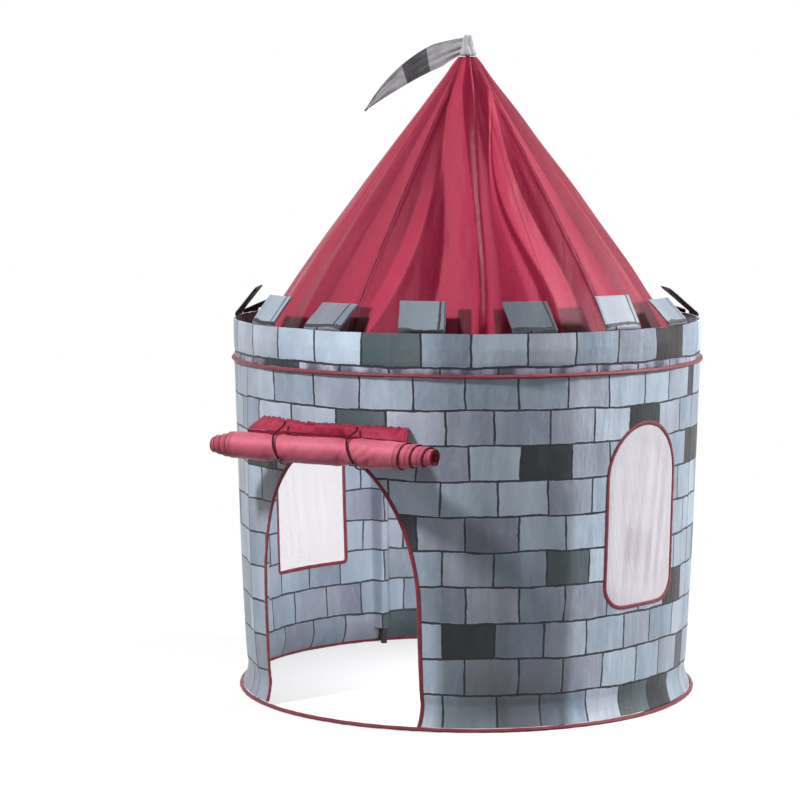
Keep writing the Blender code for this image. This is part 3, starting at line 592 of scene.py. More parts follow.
def run_of(steps):
    """How far along each point of a path lies, from the steps between them."""
    return np.concatenate([[0], np.cumsum(steps)])


def grid(across, up):
    """A map of the cloth from its places across and up."""
    return np.stack(np.broadcast_arrays(across, up), axis=-1)


def woven(name, points, cloth_map, edge, looks, closed=False, keep=None, **marks):
    """A sheet from a grid of points, rows going up and columns going across. The marks are
    more numbers for its shader to read, one to a point."""
    rows, columns = points.shape[:2]
    row, column = np.mgrid[0 : rows - 1, 0 : columns if closed else columns - 1]
    corner_rows = np.stack([row, row, row + 1, row + 1], axis=-1)
    corner_columns = np.stack([column, column + 1, column + 1, column], axis=-1)
    if keep is not None:
        corner_rows, corner_columns = corner_rows[keep], corner_columns[keep]
    corner_rows, corner_columns = corner_rows.reshape(-1, 4), corner_columns.reshape(-1, 4)
    faces = corner_rows * columns + corner_columns % columns
    used, faces = np.unique(faces, return_inverse=True)
    mesh = bpy.data.meshes.new(name)
    mesh.from_pydata(points.reshape(-1, 3)[used].tolist(), [], faces.reshape(-1, 4).tolist())
    spots = cloth_map[corner_rows, corner_columns].reshape(-1).astype(np.float32)
    mesh.uv_layers.new(name="cloth").data.foreach_set("uv", spots)
    for mark, values in {"edge": edge, **marks}.items():
        values = np.broadcast_to(values, (rows, columns)).reshape(-1)[used].astype(np.float32)
        mesh.attributes.new(mark, "FLOAT", "POINT").data.foreach_set("value", values)
    for look in looks:
        mesh.materials.append(look)
    mesh.shade_smooth()
    piece = bpy.data.objects.new(name, mesh)
    bpy.context.scene.collection.objects.link(piece)
    return piece


def only(piece):
    """Makes a piece the only one selected."""
    bpy.ops.object.select_all(action="DESELECT")
    piece.select_set(True)
    bpy.context.view_layer.objects.active = piece


def thickened(piece, thickness):
    """Gives a sheet its thickness inwards, with the second finish inside."""
    only(piece)
    solid = piece.modifiers.new("Thickness", "SOLIDIFY")
    solid.thickness = thickness
    solid.offset = -1
    solid.use_even_offset = True
    solid.material_offset = 1 if len(piece.data.materials) > 1 else 0
    bpy.ops.object.modifier_apply(modifier=solid.name)
    piece.data.set_sharp_from_angle(angle=radians(60))


def sewn(piece, body, slot, *nodes):
    """The piece rides on a body and stands for CAD nodes, which it hides; the slot is not used."""
    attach(piece, body)
    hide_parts(*nodes)
    return piece


def weld(piece):
    """Joins a mesh's doubled points, closes its open ends and turns its faces outwards."""
    shell = bmesh.new()
    shell.from_mesh(piece.data)
    bmesh.ops.remove_doubles(shell, verts=shell.verts, dist=0.00002)
    bmesh.ops.holes_fill(shell, edges=[e for e in shell.edges if e.is_boundary], sides=0)
    bmesh.ops.recalc_face_normals(shell, faces=shell.faces)
    shell.to_mesh(piece.data)
    shell.free()
    piece.data.shade_smooth()
    piece.data.set_sharp_from_angle(angle=radians(70))


def joined(first, second):
    """Joins the second piece to the first."""
    only(first)
    second.select_set(True)
    bpy.ops.object.join()


print("helpers ready")

# %% [markdown]
# ## How the wall hangs
#
# The wall is a drum of cloth between the two hoops, drawn in to a waist above the floor.
# It stands out a little over each pole and falls slack beside it, it is gathered into the
# piping above and below, and its felled seams are a hair thicker. All pieces on the wall
# ask this one surface where to lie. Satin turns light and dark in broad stripes where it
# is hardly bent at all, so those stripes are painted light and shade, written on the mesh
# and dyed in, with painted highlights, painted blotches, and in the darker band a painted
# shade that deepens towards the bottom.

# %% Wall surface
WALL_TOP, WALL_FOOT, EAVES = 0.7097, 0.0083, 0.714
WAIST_HEIGHT, WAIST_RADIUS, HEM_FLARE, WALL_SWELL = 0.055, 0.474, 0.015, 0.026
POLES = (-32, 58, 148, 238)
SEAMS = (-32, 105, 218)
EXTRA_RIDGE = 24


def wall_radius(height):
    low = 1 - np.clip(height / WAIST_HEIGHT, 0, 1)
    high = np.clip((height - WAIST_HEIGHT) / (EAVES - WAIST_HEIGHT), 0, 1)
    above = WAIST_RADIUS + WALL_SWELL * high**0.6
    return np.where(height < WAIST_HEIGHT, WAIST_RADIUS + HEM_FLARE * low**2, above)


def apart(angle, other):
    """The angle from another, from -180 to 180."""
    return (np.asarray(angle) - other + 180) % 360 - 180


def nearest(angle, others):
    return np.min([np.abs(apart(angle, other)) for other in others], axis=0)


def wall_folds(angle, height):
    """How far the cloth stands out from the plain drum, in metres."""
    near = nearest(angle, POLES)
    hang = np.sin(pi * np.clip(height / EAVES, 0, 0.9999))
    # Slack beside each pole, taut over it, and one more ridge beside the door.
    folds = 0.0012 * hang * np.cos(2 * pi * near / 13) * bell(near / 14)
    folds += 0.0085 * hang**0.6 * (np.exp(-near / 8) - 0.2)
    folds += 0.0020 * hang**0.6 * (np.exp(-np.abs(apart(angle, EXTRA_RIDGE)) / 4) - 0.1)
    # Uneven sewing, in broad and in small dents.
    folds += 0.0014 * hang**0.6 * ring_noise(angle, 12, height * 1.6, 1)
    folds += 0.0007 * hang**0.5 * ring_noise(angle, 4, height * 3.0, 2)
    # Gathers into the piping above and below.
    top, foot = np.clip(WALL_TOP - height, 0, 1), np.clip(height - WALL_FOOT, 0, 1)
    folds += 0.0009 * np.exp(-top / 0.020) * ring_noise(angle, 2, 0 * top, 3)
    folds += 0.0011 * np.exp(-foot / 0.026) * ring_noise(angle, 2.5, 0 * top, 4)
    # The felled seams, each with a dip beside it.
    seam = nearest(angle, SEAMS) * radians(1) * 0.49
    return folds + 0.0006 * bell(seam / 0.008) - 0.0008 * bell((seam - 0.020) / 0.010) * hang


def between(x, first, last):
    """0 before first and 1 after last."""
    return eased((x - first) / (last - first))


def wall_lie(angle, height):
    """Painted light and shade on the satin: broad lighter zones, a darker band with painted highlights
    and a painted shade that deepens towards the bottom, and painted blotches.
    """
    turn = apart(angle, 0)
    painted_shade_band = between(turn, 25, 29) * (1 - between(turn, 57.5, 60.5))
    # Painted shade in the darker band, deepest towards the bottom, and painted highlights in it.
    deep = 0.02 + 0.68 * (1 - np.clip(height / 0.7, 0, 1))
    painted_highlight = 0.30 * bell((turn - 30.5) / 2.0) * bell((height - 0.33) / 0.17)
    painted_highlight += 0.18 * bell((turn - 46) / 3.5) * bell((height - 0.40) / 0.22)
    painted_broad_light = 0.26 * bell((turn - 6) / 19) + 0.34 * bell((turn - 66) / 10)
    painted_blotches = 0.08 * ring_noise(angle, 6, height * 4, 90)
    painted_blotches += 0.07 * ring_noise(angle, 2.5, height * 9, 91)
    return painted_broad_light + painted_shade_band * (painted_highlight - deep) + painted_blotches


def wall_point(angle, height, proud=0.0):
    return around(angle, wall_radius(height) + wall_folds(angle, height) + proud, height)


waist_ring = wall_folds(np.linspace(0, 360, 721), 0.35)
print("wall stands out between", round(waist_ring.min(), 4), "and", round(waist_ring.max(), 4), "m")

# %% [markdown]
# ## Openings
#
# The doorway is a tall arch with an elliptical head. Each window has a round head; the
# right one's sill has rounded corners, the left one's are nearly square. A signed distance
# says how far a point is outside an opening's edge. Faces inside the edge are left out of
# the panel's grid, and the ragged row of points that remains is moved on to the edge
# itself, as scissors would, so the cut is smooth without a boolean.

# %% Openings
DOOR = {"angle": -1.5, "half": 0.193, "head": 0.310, "bottom": None, "top": 0.560, "corner": 0.0}
WINDOWS = {
    "right": {
        "angle": 81.0, "half": 0.103, "head": 0.107, "bottom": 0.236, "top": 0.603, "corner": 0.046,
    },
    "left": {
        "angle": 262.0, "half": 0.107, "head": 0.107, "bottom": 0.200, "top": 0.598, "corner": 0.006,
    },
}


def outside(x, z, hole):
    """How far a point is outside an opening's edge, in metres."""
    half, head = hole["half"], hole["head"]
    rise = z - (hole["top"] - head)
    ring = np.hypot(x / half, rise / head)
    slope = np.hypot(x / half**2, rise / head**2)
    arch = (ring - 1) * ring / np.maximum(slope, 0.001)
    sides = np.abs(x) - half
    if hole["bottom"] is not None:
        side = sides + hole["corner"]
        under = hole["bottom"] + hole["corner"] - z
        round_corner = np.hypot(np.maximum(side, 0), np.maximum(under, 0))
        sides = round_corner + np.minimum(np.maximum(side, under), 0) - hole["corner"]
    return np.where(rise > 0, arch, sides)


def side_of(angle, height, hole):
    """How far a point of the wall is to the side of an opening's middle."""
    turn = apart(angle, hole["angle"])
    far = np.abs(turn) > 60
    return np.where(far, np.sign(turn), wall_radius(height) * np.sin(np.radians(turn)))


def touches(faces):
    """The grid points that are corners of some faces."""
    grown = np.zeros((faces.shape[0] + 1, faces.shape[1] + 1), bool)
    for down in (0, 1):
        for right in (0, 1):
            grown[down : down + faces.shape[0], right : right + faces.shape[1]] |= faces
    return grown


def cut(angles, heights, hole, margin, sign=1):
    """Which faces of a grid stay outside an opening, with the cut row moved on to its edge."""
    x = side_of(angles, heights, hole)
    depth = sign * (outside(x, heights, hole) - margin)
    keep = depth[:-1, :-1] + depth[1:, :-1] + depth[:-1, 1:] + depth[1:, 1:] > 0
    edge = touches(keep) & touches(~keep)
    x, z = x[edge], heights[edge]
    nudge = 0.0001
    for _ in range(6):
        off = outside(x, z, hole) - margin
        slope_x = (outside(x + nudge, z, hole) - outside(x - nudge, z, hole)) / (2 * nudge)
        slope_z = (outside(x, z + nudge, hole) - outside(x, z - nudge, hole)) / (2 * nudge)
        x, z = x - off * slope_x, z - off * slope_z
    angles, heights = angles.copy(), heights.copy()
    heights[edge] = np.clip(z, WALL_FOOT, WALL_TOP)
    angles[edge] = hole["angle"] + np.degrees(np.arcsin(x / wall_radius(heights[edge])))
    return angles, heights, keep


print("doorway:", 2 * DOOR["half"], "m wide and", DOOR["top"], "m high")

# %% [markdown]
# ## Wall panels
#
# Three panels make the drum, joined by upright felled seams, as a factory would cut them
# from one roll of printed cloth. Each has its own shift of the print, which is why the
# courses don't quite meet at a seam. They are dense grids, because every fold is shape.
# The print isn't quite true on them: the front panel was pulled off straight at both
# sides, and half way up the cloth has slipped up a little.

# %% Wall panels
PANELS = (
    ("wall_front", -32, 105, (DOOR, WINDOWS["right"])),
    ("wall_back", 105, 218, ()),
    ("wall_left", 218, 328, (WINDOWS["left"],)),
)
PRINT_SHIFTS = {"wall_front": 0.0, "wall_back": 58.0, "wall_left": -335.24}
PULLED_FROM, SLIPPED = 42, 0.0065


def print_across(panel, angle):
    """Where a panel's print lies across it."""
    shift = PRINT_SHIFTS[panel]
    if panel == "wall_front":
        right, left = np.maximum(angle - PULLED_FROM, 0), np.maximum(PULLED_FROM - angle, 0)
        angle = angle + 0.6 + 0.0018 * right**2 + 0.0011 * left**2
    return 0.5 * np.radians(angle - shift)


def print_up(height):
    """Where the print lies up the wall."""
    return height - SLIPPED * np.sin(pi * np.clip((height - 0.06) / 0.62, 0, 1)) ** 0.6


for panel, first, last, holes in PANELS:
    seam_gap = np.degrees(0.0003 / 0.5)
    columns = int((last - first) / 0.8)
    across = np.linspace(first + seam_gap, last - seam_gap, columns + 1)
    angles, heights = np.meshgrid(across, np.linspace(WALL_FOOT, WALL_TOP, 111))
    keep = np.ones((110, columns), bool)
    for hole in holes:
        angles, heights, stays = cut(angles, heights, hole, 0.0015)
        keep &= stays
    cloth_map = grid(print_across(panel, angles), print_up(heights) + 0.0005)
    edge = np.minimum(angles - first, last - angles) * radians(1) * 0.49
    cloth = woven(
        f"{panel}_cloth", wall_point(angles, heights), cloth_map, edge, (brick_out, brick_in),
        keep=keep, lie=wall_lie(angles, heights),
    )
    thickened(cloth, 0.0011)
    sewn(cloth, "tent", "brick_cloth", panel)
    print(panel, "faces:", len(cloth.data.polygons))

# %% [markdown]
# ## Pole sleeves
#
# Inside, each pole runs in a sleeve of the same printed cloth, so it hardly shows from the
# door. A sleeve is a strip sewn to the wall on both sides of the pole. It bulges in round
# the pole, deeper towards the eaves, where the wall leaves the upright pole behind.

# %% Pole sleeves
SLEEVE_PANELS = ("wall_front", "wall_front", "wall_back", "wall_left")
POLE_RING, SLEEVE_HALF, POLE_HALF = 0.46505, 0.024, 0.0055
aside, height = np.meshgrid(
    np.linspace(-SLEEVE_HALF, SLEEVE_HALF, 33), np.linspace(0.036, 0.660, 64)
)
bulge = eased(1 - np.clip((np.abs(aside) - POLE_HALF) / (SLEEVE_HALF - POLE_HALF), 0, 1))
for number, (pole_angle, panel) in enumerate(zip(POLES, SLEEVE_PANELS), 1):
    angle = pole_angle + np.degrees(aside / 0.48)
    wall_face = wall_radius(height) + wall_folds(angle, height) - 0.0016
    wave = 0.0012 * wander(aside / 0.012, height * 9, 80 + number) * bulge
    points = around(angle, wall_face + (POLE_RING - 0.0070 - wall_face) * bulge + wave, height)
    cloth_map = grid(print_across(panel, angle), print_up(height))
    sleeve = woven(
        f"pole_sleeve_{number}", points[:, ::-1], cloth_map[:, ::-1], 1.0, (brick_in,)
    )
    thickened(sleeve, 0.0008)
    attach(sleeve, "tent")
print("sleeves:", len(POLES), "faces each:", len(sleeve.data.polygons))

# %% [markdown]
# ## Bindings
#
# A narrow red tape is folded over each raw edge of the doorway and windows and held by a
# zigzag stitch. It is modelled as a flat sleeve that runs along the opening's outline and
# swallows the panel's edge. Its width breathes a little, as tape does on a curve.

# %% Binding tapes
TAPE_SECTION = (
    (0.0074, 0.0007), (0.0063, 0.0012), (0.0036, 0.0014), (0.0012, 0.0013), (-0.0004, 0.0006),
    (-0.0009, -0.0006), (-0.0004, -0.0018), (0.0012, -0.0025), (0.0036, -0.0026), (0.0063, -0.0024),
    (0.0074, -0.0019),
)


def outline(hole, spacing=0.004):
    """Points on an opening's edge as side, height and the outward direction."""
    half, head, bottom, corner = (hole[key] for key in ("half", "head", "bottom", "corner"))
    spring = hole["top"] - head
    turn = np.arange(0, pi, spacing / max(half, head))
    over, up = np.cos(turn), np.sin(turn)
    size = np.hypot(head * over, half * up)
    arch = np.stack([half * over, spring + head * up, head * over / size, half * up / size], axis=-1)
    if bottom is None:
        low = np.arange(WALL_FOOT, spring, spacing)
        right, left = [(half, z, 1, 0) for z in low], [(-half, z, -1, 0) for z in low[::-1]]
        return np.vstack([right, arch, left])
    points = [(-half, z, -1, 0) for z in np.arange(spring, bottom + corner, -spacing)]
    for side, start in ((-1, pi), (1, 1.5 * pi)):
        for t in np.linspace(start, start + pi / 2, 12):
            x = side * (half - corner) + corner * cos(t)
            points.append((x, bottom + corner + corner * sin(t), cos(t), sin(t)))
        if side < 0:
            run = np.arange(-(half - corner) + spacing, half - corner, spacing)
            points += [(x, bottom, 0, -1) for x in run]
    points += [(half, z, 1, 0) for z in np.arange(bottom + corner + spacing, spring, spacing)]
    return np.vstack([arch, points])


def binding(name, hole, node):
    path = outline(hole)
    closed = hole["bottom"] is not None
    if closed:
        path = np.vstack([path, path[:1]])
    run = run_of(np.hypot(*np.diff(path[:, :2], axis=0).T))
    section = np.array(TAPE_SECTION + TAPE_SECTION[:1])
    girth = run_of(np.hypot(*np.diff(section, axis=0).T))[:, None]
    across, proud = section[:, :1], section[:, 1:]
    reach = across * (1 + 0.10 * wander(run / 0.03, 0 * run, 5))
    side = path[:, 0] + path[:, 2] * reach
    height = np.maximum(path[:, 1] + path[:, 3] * reach, WALL_FOOT)
    gather = 0.00035 * wander(run / 0.006, 0 * run, 6) * np.sign(proud)
    angle = hole["angle"] + np.degrees(np.arcsin(side / wall_radius(height)))
    points = wall_point(angle, height, proud + gather)[::-1, ::-1]
    if closed:
        points = points[:, :-1]
    tape = woven(name, points, grid(run, girth)[::-1, ::-1], 1.0, (tape_look,), closed=closed)
    weld(tape)
    return sewn(tape, "tent", "piping_tape", node)


door_tape = binding("door_binding_tape", DOOR, "door_binding")
window_tapes = {
    side: binding(f"window_binding_tape_{side}", hole, f"window_binding_{side}")
    for side, hole in WINDOWS.items()
}
print("door tape faces:", len(door_tape.data.polygons))

# %% [markdown]
# ## Window nets
#
# Soft net is caught under the binding. It is cut a little full, so it bellies inwards and
# hangs in folds that slant a little. The grid is kept where it lies inside the opening.

# %% Nets
for side, hole in WINDOWS.items():
    spread = np.degrees(0.12 / 0.48)
    angles, heights = np.meshgrid(
        np.linspace(hole["angle"] - spread, hole["angle"] + spread, 90),
        np.linspace(hole["bottom"] - 0.01, hole["top"] + 0.01, 121),
    )
    angles, heights, keep = cut(angles, heights, hole, 0.0030, sign=-1)
    lay = eased(-outside(side_of(angles, heights, hole), heights, hole) / 0.05)
    middle = apart(angles, hole["angle"])
    slanted = middle - 14 * (heights - 0.4)
    folds = 0.0009 * wander(slanted / 1.7, heights * 3.0, 8)
    folds += 0.0016 * wander(slanted / 4.0, heights * 2.0, 9)
    folds += 0.0030 * bell((slanted - 4.5) / 1.3) + 0.0022 * bell((slanted - 8.5) / 1.0)
    points = wall_point(angles, heights, -0.0005 - lay * (0.0045 - folds))
    cloth_map = grid(0.48 * np.radians(middle), heights)
    net = woven(
        f"window_net_cloth_{side}", points, cloth_map, 1.0, (net_cloths[side],), keep=keep
    )
    thickened(net, 0.0005)
    sewn(net, "tent", "net", f"window_net_{side}")
    print("net", side, "faces:", len(net.data.polygons))

# %% [markdown]
# ## Piping
#
# The wire hoops run in casings of gathered red tape, which show as a bold line at the
# eaves and round the foot. Each is a tube with a groove along its outer face, where the
# stitching pulls it in, and fine gathers. The lower one is pressed flat on the floor.

# %% Piping
def piping(name, radius, height, node, floor_height=None):
    angle = np.arange(0, 360, 0.5)
    turn = np.radians(np.arange(0, 361, 24))
    ring, swing = np.meshgrid(angle, turn)
    groove = 1 - sum(0.24 * bell((swing - radians(line)) / 0.28) for line in (18, 378))
    gather = 0.0004 * ring_noise(ring, 1.5, swing * 0.8, 9)
    gather += 0.0003 * ring_noise(ring, 12, 0 * swing, 10)
    reach = 0.0041 * groove + gather
    over = height + reach * np.sin(swing) + 0.0006 * ring_noise(ring, 20, 0 * swing, 11)
    if floor_height is not None:
        over = np.maximum(over, floor_height)
    points = around(ring, radius + reach * np.cos(swing), over)
    cloth_map = grid(0.5 * np.radians(np.append(angle, 360)), 0.004 * turn[:, None])
    tape = woven(name, points, cloth_map, 1.0, (tape_look,), closed=True)
    weld(tape)
    return sewn(tape, "tent", "piping_tape", node)


eaves_tape = piping("eaves_piping_tape", 0.5015, EAVES, "eaves_piping")
base_tape = piping("base_piping_tape", 0.4884, 0.0042, "base_piping", 0.0)
print("piping faces:", len(eaves_tape.data.polygons))

# %% [markdown]
# ## Battlement collar
#
# Above the eaves stands a collar of stiffened print, one course high, on a narrow strip
# that is gathered into the seam. It bows out a little, and its top edge isn't quite level
# between the flaps that are sewn to it. Its print is laid from one joint, with the bricks a
# little wider than on the wall to either side of it.

# %% Collar
COLLAR_FOOT, COLLAR_HEIGHT, STRIP_HEIGHT = 0.7183, 0.0795, 0.0135
COLLAR_JOINT, PRINT_JOINT, BRICK_TURN = 34.9, 28.8, 12.1
collar_turns = np.arange(-180, 180, 0.5)
collar_shares = np.linspace(0, 1, 19)
ring, share = np.meshgrid(collar_turns, collar_shares)
wavy = share**3 * 0.0009 * ring_noise(ring, 9, 0 * share, 12)
collar_radius = np.interp(share, (0, 0.17, 0.585, 1), (0.499, 0.500, 0.5015, 0.500))
collar_radius += 0.0011 * ring_noise(ring, 8, share * 2, 13) * share**0.5
collar_radius += 0.0010 * np.exp(-share / 0.12) * ring_noise(ring, 2, 0 * share, 14)
collar_radius -= 0.0012 * bell((share - 0.17) / 0.05)
points = around(ring, collar_radius, COLLAR_FOOT + COLLAR_HEIGHT * share + wavy)
from_joint = np.append(collar_turns, 180) - COLLAR_JOINT
print_angle = PRINT_JOINT + from_joint * BRICK_TURN / np.where(from_joint < 0, 12.7, 12.2)
print_rise = (STRIP_COURSE + 1 + (COLLAR_HEIGHT * collar_shares - STRIP_HEIGHT) / 0.077) * COURSE
cloth_map = grid(0.5 * np.radians(print_angle), print_rise[:, None])
# Painted light and shade on the collar, as on the wall: lighter round the front, darker in a band to
# its right.
collar_lie = 0.30 * bell((ring - 5) / 16) + 0.12
collar_lie -= 0.25 * between(ring, 25, 29) * (1 - between(ring, 57, 60))
collar = woven(
    "battlement_collar", points, cloth_map, 1.0, (brick_out, brick_in), closed=True,
    lie=collar_lie,
)
thickened(collar, 0.0036)
sewn(collar, "tent", "brick_cloth", "battlement_band")
print("collar faces:", len(collar.data.polygons))

# %% [markdown]
# ## Battlement flaps
#
# Fifteen flaps of printed cloth over thin foam stand on the collar and lean in over the
# roof. Each is a flat pillow: two faces that meet in a seam round the edge, thick in the
# middle, with dark sides. One function shapes them all. The fits say how each one differs,
# counted from the door round to the right: how far it is turned out of its even place and
# how far it leans, in degrees, its length as a share, how far its top drifts to the side,
# in metres, and how much light or shade is painted on its satin. FLAP_LINE is where across
# a flap one joint of its print falls.

# %% Flaps
FLAP_WIDTH, FLAP_FOOT, FLAP_LENGTH, FLAP_HALF = 0.095, 0.008, 0.088, 0.0029
FLAP_SEAT = 0.7981
FLAP_FITS = (
    (-2.2, 54, 0.83, 0.000, -0.45), (-0.8, 54, 1.00, -0.012, -0.70), (1.2, 55, 1.00, 0.000, -0.78),
    (0.8, 30, 0.78, 0.000, -0.34), (-1.5, 45, 0.72, 0.000, -0.45), (10.0, 50, 0.95, 0.000, -0.3),
    (0.0, 72, 0.72, 0.000, 0.0), (0.0, 58, 1.00, 0.003, 0.0), (0.0, 53, 1.00, -0.004, 0.0),
    (0.0, 60, 1.00, 0.002, 0.0), (0.0, 49, 1.00, 0.000, 0.0), (0.0, 57, 1.00, -0.003, 0.0),
    (0.0, 68, 0.75, 0.000, 0.0), (-12.0, 38, 0.80, 0.000, 0.0), (0.0, 38, 0.74, 0.000, -0.38),
)
FLAP_LINE = 0.85
flap_edge = Finish("dark_flap_edge", Sheen_Weight=0.1, Specular_IOR_Level=0.3)
edge_noise = flap_edge.drift(flap_edge.on_object(), 90.0, 3.0)
edge_color = flap_edge.mixed(0.5 + edge_noise, dye(18, 20, 32), dye(44, 46, 60))
flap_edge_look = flap_edge.finish(edge_color, 0.55 + edge_noise * 0.2, edge_noise, 0.001)


def flap(index):
    turn, lean, length, drift, flap_lie = FLAP_FITS[index]
    angle = 360 * index / len(FLAP_FITS) + turn
    across = np.concatenate([[-1, -0.985, -0.95], np.linspace(-0.88, 0.88, 19), [0.94, 0.975, 1]])
    up = np.concatenate([[0, 0.012, 0.04], np.linspace(0.07, 0.94, 22), [0.975, 1]])
    side, rise = np.meshgrid(across, up)
    run = rise * (FLAP_FOOT + FLAP_LENGTH * length)
    slope = radians(lean) * eased((run - FLAP_FOOT + 0.004) / 0.008)
    steps = np.diff(run, axis=0, prepend=0)
    inward = np.cumsum(steps * np.sin(slope), axis=0)
    height = np.cumsum(steps * np.cos(slope), axis=0)
    curl = 0.0024 * wander(side * 1.5 + 5, rise * 1.6, 20 + index) * rise
    curl += 0.0018 * side**2 * rise * sin(index * 1.7)
    x = side * FLAP_WIDTH / 2 * (1 + 0.012 * wander(rise * 3, 0 * rise, 40 + index)) + drift * rise
    full = (1 - np.abs(side) ** 10) * (1 - np.abs(2 * rise - 1) ** 14)
    half = FLAP_HALF * np.clip(full, 0, 1) ** 0.5
    middle = 0.5 - 0.003 - x**2 / (2 * 0.5) - inward + curl
    print_x = (30 + 3 * index + ODD_JOINT) * BRICK + ((side + 1) / 2 - FLAP_LINE) * FLAP_WIDTH
    cloth_map = grid(print_x, (21 + (run - FLAP_FOOT) / 0.11) * COURSE)
    made = []
    for face in (1, -1):
        radius = middle + face * half * np.cos(slope)
        z = FLAP_SEAT + height + face * half * np.sin(slope)
        points = radius[..., None] * outward(angle) + x[..., None] * outward(angle + 90)
        points += np.stack([0 * z, 0 * z + AXIS_Y, z], axis=-1)
        made.append(
            woven(
                f"battlement_flap_{index:02d}", points[:, ::face], cloth_map[:, ::face], 1.0,
                (brick_out, flap_edge_look), lie=flap_lie,
            )
        )
    front, back = made
    spans = len(across) - 1
    for polygon in front.data.polygons:
        polygon.material_index = int(polygon.index % spans in (0, spans - 1, spans - 2))
    for polygon in back.data.polygons:
        polygon.material_index = 1
    joined(front, back)
    weld(front)
    front.name = f"battlement_flap_{index:02d}"
    sewn(front, "tent", "brick_cloth", f"merlon_{index:02d}")
    return front


flaps = [flap(index) for index in range(len(FLAP_FITS))]
print("flaps:", len(flaps), "faces each:", len(flaps[0].data.polygons))

# %% [markdown]
# ## How the roof hangs
#
# Five gores make the cone. The imported cloth keeps sharp creases that run from the eaves
# to the hub, and between them it is pulled flat, so the roof is a fan of narrow facets.
# The creases on the side that the photograph shows are placed one by one: each has its
# angles and how many millimetres it stands out, at five places from the foot to the top.
# The other gores repeat one plain set in turn. As on the wall, the satin's light and dark
# is written on the mesh: a facet that faces a lamp is the lighter one, and the flaps keep
# the light off a patch to the right of each.

# %% Roof surface
ROOF_FOOT, ROOF_TOP, GUTTER_TOP = 0.7183, 1.352, 0.7343
ROOF_FOOT_RADIUS, ROOF_TOP_RADIUS, GUTTER_RADIUS = 0.4914, 0.0195, 0.4935
ROOF_TUCK, ROOF_FULLNESS, ROOF_DEPTH = 0.0234, 0.005, 1.25
ROOF_SEAMS = (0, 76.5, 144, 216, 288, 360)
CREASE_SHARES = (0.12, 0.25, 0.43, 0.62, 0.84)
FRONT_CREASES = (
    ((2.5, 3.0, 10.8, 6.0, 3.0), (2.0, 2.5, -4.0, -2.0, -0.5)),
    ((8.0, 8.5, 19.0, 12.0, 5.5), (6.0, 7.0, 3.0, -4.5, -1.0)),
    ((12.0, 12.0, 21.5, 15.0, 7.0), (2.0, 3.0, 0.0, -6.0, -1.5)),
    ((22.0, 23.2, 25.3, 18.7, 9.0), (-7.0, -8.0, -3.5, -7.0, -1.5)),
    ((36.8, 37.3, 37.5, 35.1, 28.4), (5.0, 6.0, 7.0, 3.0, 3.0)),
    ((39.0, 39.3, 40.0, 39.9, 44.5), (0.0, -1.0, -3.5, -7.0, -6.0)),
    ((43.0, 43.8, 44.9, 46.0, 60.0), (7.0, 8.0, 7.0, 3.0, 3.0)),
    ((50.0, 50.8, 48.5, 47.2, 63.0), (7.0, 8.0, 7.0, 0.5, 2.5)),
    ((54.5, 55.1, 50.5, 48.2, 64.5), (5.0, 5.0, 6.0, -1.0, 2.0)),
    ((59.0, 59.5, 52.5, 49.5, 66.0), (10.0, 10.0, 8.0, 1.0, 2.0)),
    ((66.5, 68.3, 64.8, 62.2, 70.0), (-4.0, -5.0, -6.0, -5.0, 0.5)),
)
SHADE_TOP = 0.196
SHADES = ((-2.5, 5.4), (30.6, 35.0), (40.9, 47.9), (59.6, 70.2), (93.0, 105.0)) + tuple(
    (start, start + 8) for start in range(117, 318, 24)
)
PLAIN_CREASES = ((13, -6), (22, 3), (27, -2), (36, 6), (45, -6), (52, 0), (57, -3), (65, 3))
LEANINGS = ((-2.0, -1.0, 0.0, 1.6, 3.0), (3.0, 1.6, 0.0, -2.2, -4.0))
# 1 where the nearest lamp stands at a smaller angle, and -1 where at a larger one.
LAMP_TURNS = (0, 36, 52, 110, 140, 165, 180, 205, 225, 280, 300, 330, 345, 360)
LAMP_SIDES = (1, 1, -1, -1, 1, 1, -1, -1, 1, 1, -1, -1, 1, 1)


def creases():
    """Every crease of the roof, as its angles and how far it stands out, foot to top."""
    found = [((seam,) * 5, (1.5, 1.5, 1.5, 1.0, 0.0)) for seam in ROOF_SEAMS]
    found += list(FRONT_CREASES)
    for gore in range(1, 5):
        first, last = ROOF_SEAMS[gore], ROOF_SEAMS[gore + 1]
        for order, (place, proud) in enumerate(PLAIN_CREASES):
            share = place / 72 if gore in (1, 3) else 1 - place / 72
            leaning = LEANINGS[(order + gore) % 2]
            angles = tuple(first + (last - first) * share + 0.6 * bit for bit in leaning)
            found.append((angles, tuple(proud * part for part in (0.8, 1.0, 1.0, 0.8, 0.4))))
    return sorted(found, key=lambda crease: crease[0][2])


def cone(share):
    """The cone's plain radius at a share of its height."""
    straight = ROOF_FOOT_RADIUS + (ROOF_TOP_RADIUS - ROOF_FOOT_RADIUS) * share
    return straight - ROOF_TUCK * (1 - share) ** 8


def roof_share(height):
    return (height - ROOF_FOOT) / (ROOF_TOP - ROOF_FOOT)


def roof_radius(height):
    share = roof_share(height)
    full = cone(share) + ROOF_FULLNESS * np.sin(pi * np.clip(share, 0, 1))
    part = (height - ROOF_FOOT) / (GUTTER_TOP - ROOF_FOOT)
    gutter = GUTTER_RADIUS + (cone(roof_share(GUTTER_TOP)) - GUTTER_RADIUS) * part
    return np.where(height < GUTTER_TOP, gutter, full)


